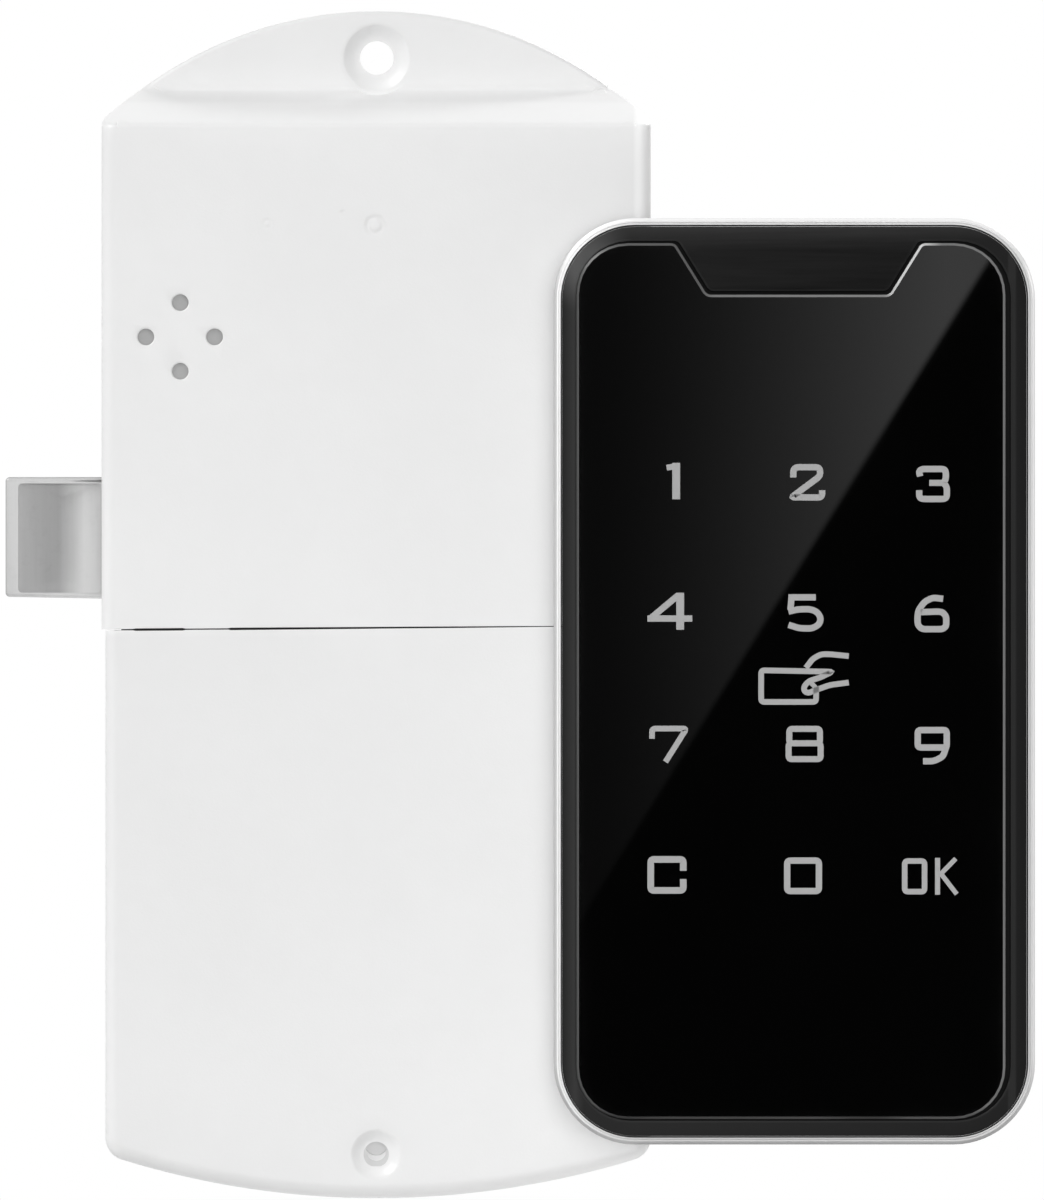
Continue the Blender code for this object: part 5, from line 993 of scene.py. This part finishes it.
# for each sign its strokes: width, whether closed, and the pixels that it runs through
SIGNS = {
    "one": [(5.8, False, [(666.5, 467.5), (676, 466)]), (7.8, False, [(676, 462.7), (676, 499.1)])],
    "two": [(6.3, False, [(793, 477.3), (793, 469.4), (796.1, 467), (817.9, 467), (819.9, 470), (819.5, 476),
        (791.2, 497), (819.7, 497.3), (821.8, 495.1), (821.8, 490)])],
    "three": [(6.3, False, [(919.7, 476.1), (918.5, 471.2), (921.5, 468.8), (943.3, 468.8), (945.4, 471.2),
        (945.4, 479.1), (942.7, 482.7), (946.4, 486.4), (946.4, 496.7), (943.9, 498.8), (921.5, 498.8),
        (918.8, 496.7), (918.8, 490)]), (6, False, [(928.8, 482.7), (942.7, 482.7)])],
    "four": [(7.8, False, [(680, 592.4), (680, 629.4)]), (6.3, False, [(678.2, 594.8), (649.1, 619.1)]),
        (6.3, False, [(647.3, 618.2), (692.1, 618.2)])],
    "five": [(6.3, False, [(788.2, 597), (815.5, 597)]), (6.3, False, [(791.2, 597), (790.2, 609.5)]),
        (6.3, False, [(788.2, 611.2), (797.9, 609), (810, 608.8), (817.3, 611.8), (820.7, 618.5),
        (818.5, 624.5), (811.2, 628.2), (799.1, 627.9), (788.2, 624.5)])],
    "six": [(6.3, False, [(942.7, 598.5), (932.4, 597.3), (923.9, 601.5), (917.9, 610), (917, 617.3),
        (917.3, 624.5), (921.5, 628.8), (942.1, 628.8), (945.8, 625.8), (945.8, 616.1), (942.1, 611.8),
        (937.3, 611.2), (920.3, 611.8)])],
    "seven": [(5.6, False, [(651.9, 738.2), (651.9, 728.1), (686.3, 728.1), (665.3, 761.4)])],
    "eight": [(6, True, [(789, 728.4), (819.6, 728.4), (819.6, 742.8), (789, 742.8)]), (6, True,
        [(788.3, 742.8), (820.3, 742.8), (820.3, 758.6), (788.3, 758.6)])],
    "nine": [(6.3, True, [(917.3, 729.6), (946.3, 729.6), (946.3, 747), (917.3, 747)]), (6.3, False,
        [(946.3, 745), (942.5, 756.1), (933.3, 760.7), (922.6, 760.7)])],
    "clear": [(6.6, False, [(683.1, 870.2), (683.1, 858.8), (650.6, 858.8), (650.6, 889.8), (683.1, 889.8),
        (683.1, 878.4)])],
    "nought": [(6.3, True, [(786.9, 860), (818.6, 860), (818.6, 890.4), (786.9, 890.4)])],
    "enter": [(5.5, True, [(904.3, 860.4), (924.1, 860.4), (924.1, 891), (904.3, 891)]), (5, False,
        [(937.1, 857.3), (937.1, 894)]), (4.6, False, [(939, 874.7), (955.3, 858)]), (4.6, False,
        [(941, 873.7), (956.3, 893.5)])],
    "card": [(5.6, False, [(815.8, 686), (815.8, 701.5), (760.9, 701.5), (760.9, 669.9), (832, 671.3),
        (820, 677), (808.4, 680.7), (803.5, 686.3), (804.2, 691.2), (808.4, 692.6), (813, 690.5),
        (829.4, 684.6), (848.4, 682.1)]), (5.6, False, [(805.6, 667.4), (812.6, 658.2), (821, 653.8),
        (829.4, 653.8), (848.4, 655.7)]), (4.6, False, [(809.5, 681), (816, 688)])],
}


def soften_path(points, closed, reach=3.4):
    """Cuts each corner of a path by a curve that starts at most reach before it and ends as far after.

    Three points stand for a corner p between p + a and p + b: p + a, p + (a + b) / 4 and p + b.
    """
    points = np.asarray(points, float)
    before, after = np.roll(points, 1, 0) - points, np.roll(points, -1, 0) - points
    a, b = (way * np.minimum(reach / np.linalg.norm(way, axis=1), 0.45)[:, None] for way in (before, after))
    share = np.linspace(0, 1, 5)[None, :, None]
    curve = points[:, None] + (1 - share) ** 2 * a[:, None] + share ** 2 * b[:, None]
    if closed:
        return curve.reshape(-1, 2)
    return np.vstack([points[:1], curve[1:-1].reshape(-1, 2), points[-1:]])


def ribbon(points, width, closed, back, front):
    """A flat ribbon along a path: each point moves half the width along the mitre to both sides."""
    if closed:
        before, after = np.roll(points, 1, 0), np.roll(points, -1, 0)
    else:
        before = np.vstack([2 * points[:1] - points[1:2], points[:-1]])
        after = np.vstack([points[1:], 2 * points[-1:] - points[-2:-1]])
    first, second = (unit(way)[:, ::-1] * (-1, 1) for way in (points - before, after - points))
    side = unit(first + second)
    reach = side * (width / 2 / np.clip(np.sum(side * first, 1), 0.6, 1)[:, None])
    left, right = points + reach, points - reach
    edges = ((left, front), (right, front), (right, back), (left, back))
    skin = Skin()
    skin.points = np.stack([np.insert(edge, 1, -depth, 1) for edge, depth in edges], 1).reshape(-1, 3)
    return skin.close(np.arange(len(skin.points)).reshape(-1, len(edges)), closed)


class LOCK_OT_signs(bpy.types.Operator):
    """Builds the digits, the clear and enter keys and the card sign as thin print on the glass"""
    bl_idname = "lock.signs"
    bl_label = "Key signs"

    def execute(self, context):
        front = node_box("touch_glass")[3]
        thick = context.scene.lock_sizes.print_thickness / MM
        for name, strokes in SIGNS.items():
            skin = Skin()
            for number, (width, closed, points) in enumerate(strokes):
                path = (soften_path(points, closed) - (MIDDLE_X, LEVEL_Z)) * (PIXEL, -PIXEL)
                skin.add(ribbon(path + (0, CASE_BOTTOM), width * PIXEL, closed, front + PRINT_GAP,
                                front + thick - PRINT_GAP * number))
            finish_piece(plain_object("sign_" + name, skin), "legend_white", sharp=30)
        return {"FINISHED"}


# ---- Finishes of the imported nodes, and the studio ----

class LOCK_OT_finishes(bpy.types.Operator):
    """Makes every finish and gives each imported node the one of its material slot"""
    bl_idname = "lock.finishes"
    bl_label = "Finishes"

    def execute(self, context):
        FINISH.update(finishes(context.scene.lock_colours))
        for name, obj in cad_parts.items():
            for place in obj.material_slots:
                slot = place.material.name.split(".")[0]
                if slot not in FINISH:
                    raise RuntimeError(f"{name} has a slot without a finish: {slot}")
                place.material = FINISH[slot]
        return {"FINISHED"}


CAMERA_DISTANCE, CAMERA_X, CAMERA_Z = 6000.0, 18.98, 0.66
LENS, SENSOR, CLIP_END = 1376.9, 36.0, 50.0
# name, strength, way to the lamp, whether it casts a shadow
LAMPS = (("key", 2.1, (-0.62, -0.50, 0.66), False), ("fill", 0.51, (0.06, -0.99, 0.10), True),
         ("low", 0.4, (0.0, -0.30, -0.95), False), ("side", 0.5, (0.93, -0.25, 0.26), False),
         ("back", 1.3, (0.40, 0.75, 0.53), True))
LAMP_SPREAD, AMBIENT = 20, 0.30
FLOOR_LEVEL, FLOOR_REACH, FLOOR_RINGS = -90.0, 450.0, (300.0, 200.0, 100.0)
FLOOR_NEAR, FLOOR_FAR = 120.0, 420.0
CARD_DEPTH, CARD_MARGIN, CARD_SOFT, CARD_X = 300.0, 0.6, (-0.3, 0.5), (27.8, 74.6)
CARD_LINE = ((79.2, 44.0), (29.1, -37.0))


class LOCK_OT_studio(bpy.types.Operator):
    """Sets the camera, the floor, the lamps, the reflection card and the white surroundings"""
    bl_idname = "lock.studio"
    bl_label = "Studio"

    def execute(self, context):
        scene = context.scene
        scene.view_settings.view_transform = "Standard"
        camera = bpy.data.objects.new("camera", bpy.data.cameras.new("camera"))
        camera.data.lens, camera.data.sensor_width, camera.data.clip_end = LENS, SENSOR, CLIP_END
        camera.location = (CAMERA_X * MM, -CAMERA_DISTANCE * MM, CAMERA_Z * MM)
        camera.rotation_euler = (math.pi / 2, 0, 0)
        scene.collection.objects.link(camera)
        scene.camera = camera
        for lamp in LAMPS:
            self.lamp(scene, *lamp)
        self.surroundings(scene)
        self.floor()
        self.card()
        return {"FINISHED"}

    def lamp(self, scene, name, strength, towards, shades):
        """A soft distant lamp. The key, low and side ones cast no shadow: the photo shows none there."""
        sun = bpy.data.lights.new(name, "SUN")
        sun.energy, sun.angle, sun.use_shadow = strength, math.radians(LAMP_SPREAD), shades
        obj = bpy.data.objects.new(name, sun)
        obj.rotation_mode = "QUATERNION"
        obj.rotation_quaternion = Vector(towards).to_track_quat("Z", "Y")
        scene.collection.objects.link(obj)

    def surroundings(self, scene):
        """White where the camera, a gloss or a clear body looks, and dimmer for plain light."""
        scene.world = bpy.data.worlds.new("studio")
        scene.world.use_nodes = True
        wiring = Wiring(scene.world.node_tree)
        seen = wiring.ray("Is Camera Ray")
        for kind in ("Is Glossy Ray", "Is Transmission Ray"):
            seen = seen.larger(wiring.ray(kind))
        white = wiring.node("ShaderNodeBackground", {}, {
            "Color": grey(1.0), "Strength": AMBIENT + seen * (1 - AMBIENT)})
        wiring.node("ShaderNodeOutputWorld", {}, {"Surface": white.outputs[0]})

    def floor(self):
        """A round pale floor of rings that fades to white at its rim."""
        skin = Skin()
        ring = circle((0, 0), 1, 96)
        loops = [skin.loop(ring * radius, FLOOR_LEVEL) for radius in (FLOOR_REACH, *FLOOR_RINGS)]
        skin.points = skin.points[:, [0, 2, 1]] * (1, 1, -1)
        skin.bands(loops)
        skin.lid(loops[-1], True)
        floor = plain_object("floor", skin)
        paint = Finish("floor", Base_Color=grey(0.75), Roughness=0.9)
        x, depth, _ = paint.axes()
        far = (x * x + depth * depth).step(FLOOR_NEAR ** 2, FLOOR_FAR ** 2)
        paint.shine(grey(1.0), 1.0, (0.5 + far * 0.5) * paint.ray("Is Camera Ray"))
        floor.data.materials.append(paint.material)

    def card(self):
        """A dark card before the panel that only a gloss sees, lit above a slanting line.

        A place on the glass shows the card where the line from the camera, mirrored, meets it: the
        place scaled about the camera's axis. Across the glass its light grows as 0.05 + 0.13 t +
        0.84 t^2, from t = 0 at the left to 1 at the right.
        """
        front = node_box("touch_glass")[3]
        scale = 1 + (CARD_DEPTH - front) / (CAMERA_DISTANCE - front)
        axis = np.array((CAMERA_X, CAMERA_Z))
        skin = Skin()
        glass = round_corners(rectangle(GLASS_MIDDLE, *GLASS_SIZE), GLASS_RADIUS, -CARD_MARGIN)
        skin.lid(skin.loop(axis + (glass - axis) * scale, CARD_DEPTH), False)
        card = plain_object("reflection_card", skin)
        paint = Finish("reflection_card", Base_Color=BLACK, Roughness=1.0)
        x, _, z = paint.axes()
        top, low = axis + (np.array(CARD_LINE) - axis) * scale
        along = (top - low) / np.hypot(*(top - low))
        side = (z - low[1]) * float(along[0]) - (x - low[0]) * float(along[1])
        t = x.step(*(float(CAMERA_X + (end - CAMERA_X) * scale) for end in CARD_X))
        paint.shine(grey(1.0), 1.0, side.step(*CARD_SOFT) * (0.05 + t * 0.13 + t * t * 0.84).clamp())
        card.data.materials.append(paint.material)
        card.visible_camera = card.visible_diffuse = card.visible_transmission = False
        card.visible_shadow = card.visible_volume_scatter = False


# ---- What a user may change, the sidebar, and the run ----

def length(name, description, millimetres):
    """A length that a user may change, kept in metres."""
    return bpy.props.FloatProperty(name=name, description=description, default=millimetres * MM, min=0.0,
                                   precision=5, unit="LENGTH")


def colour(name, description, *parts):
    """A colour that a user may change."""
    return bpy.props.FloatVectorProperty(name=name, description=description, default=parts, size=3,
                                         min=0.0, max=1.0, subtype="COLOR")


class LOCK_PG_sizes(bpy.types.PropertyGroup):
    """Sizes of the dressed pieces"""
    face_edge: length("Face edge", "Radius of the rounded edge round the case's face", 1.8)
    flange_edge: length("Flange edge", "Radius of the rounded edge round the fixing flange", 0.6)
    seam_gap: length("Seam gap", "Widest gap between the upper case and the battery cover", 0.32)
    seam_edge: length("Seam edge", "Radius of the edges on both sides of the seam", 0.08)
    hollow_depth: length("Hollow depth", "Depth of the bolt's hollow at its deepest", 2.0)
    frame_bevel: length("Frame bevel", "Width of the outer bevel of the panel's metal frame", 0.30)
    glass_edge: length("Glass edge", "Width of the ground edge of the touch glass", 0.30)
    print_thickness: length("Print thickness", "Height of the printed signs over the glass", 0.03)


class LOCK_PG_colours(bpy.types.PropertyGroup):
    """Colours of the dressed pieces"""
    case_white: colour("Case white", "White of the moulded case and cover", 0.80, 0.80, 0.80)
    zinc: colour("Zinc", "Colour of the cast bolt", 0.70, 0.70, 0.70)
    frame_silver: colour("Frame silver", "Colour of the panel's metal frame", 0.95, 0.95, 0.95)
    bezel_black: colour("Bezel black", "Lightest tone of the black bezel", 0.090, 0.090, 0.090)
    sign_grey: colour("Sign grey", "Grey of the printed signs", 0.36, 0.36, 0.36)
    brass: colour("Brass", "Colour of the posts and the gears", 0.62, 0.44, 0.18)


class LOCK_PT_sidebar(bpy.types.Panel):
    """Lists the sizes, the colours and the steps that dress the lock"""
    bl_idname = "LOCK_PT_sidebar"
    bl_label = "Cabinet Lock"
    bl_space_type = "VIEW_3D"
    bl_region_type = "UI"
    bl_category = "Cabinet Lock"

    def draw(self, context):
        column = self.layout.column()
        for group in (context.scene.lock_sizes, context.scene.lock_colours):
            for name in group.__annotations__:
                column.prop(group, name)
        for step in STEPS:
            column.operator(step.bl_idname)


STEPS = (LOCK_OT_finishes, LOCK_OT_upper_case, LOCK_OT_battery_cover, LOCK_OT_bolt, LOCK_OT_panel_frame,
         LOCK_OT_panel_bezel, LOCK_OT_touch_glass, LOCK_OT_signs, LOCK_OT_studio)
CLASSES = (LOCK_PG_sizes, LOCK_PG_colours, *STEPS, LOCK_PT_sidebar)


def register():
    for item in CLASSES:
        bpy.utils.register_class(item)
    bpy.types.Scene.lock_sizes = bpy.props.PointerProperty(type=LOCK_PG_sizes)
    bpy.types.Scene.lock_colours = bpy.props.PointerProperty(type=LOCK_PG_colours)


def unregister():
    del bpy.types.Scene.lock_colours
    del bpy.types.Scene.lock_sizes
    for item in reversed(CLASSES):
        bpy.utils.unregister_class(item)


def main():
    """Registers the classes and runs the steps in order."""
    register()
    for step in STEPS:
        group, name = step.bl_idname.split(".")
        getattr(getattr(bpy.ops, group), name)()


if __name__ == "__main__":
    main()
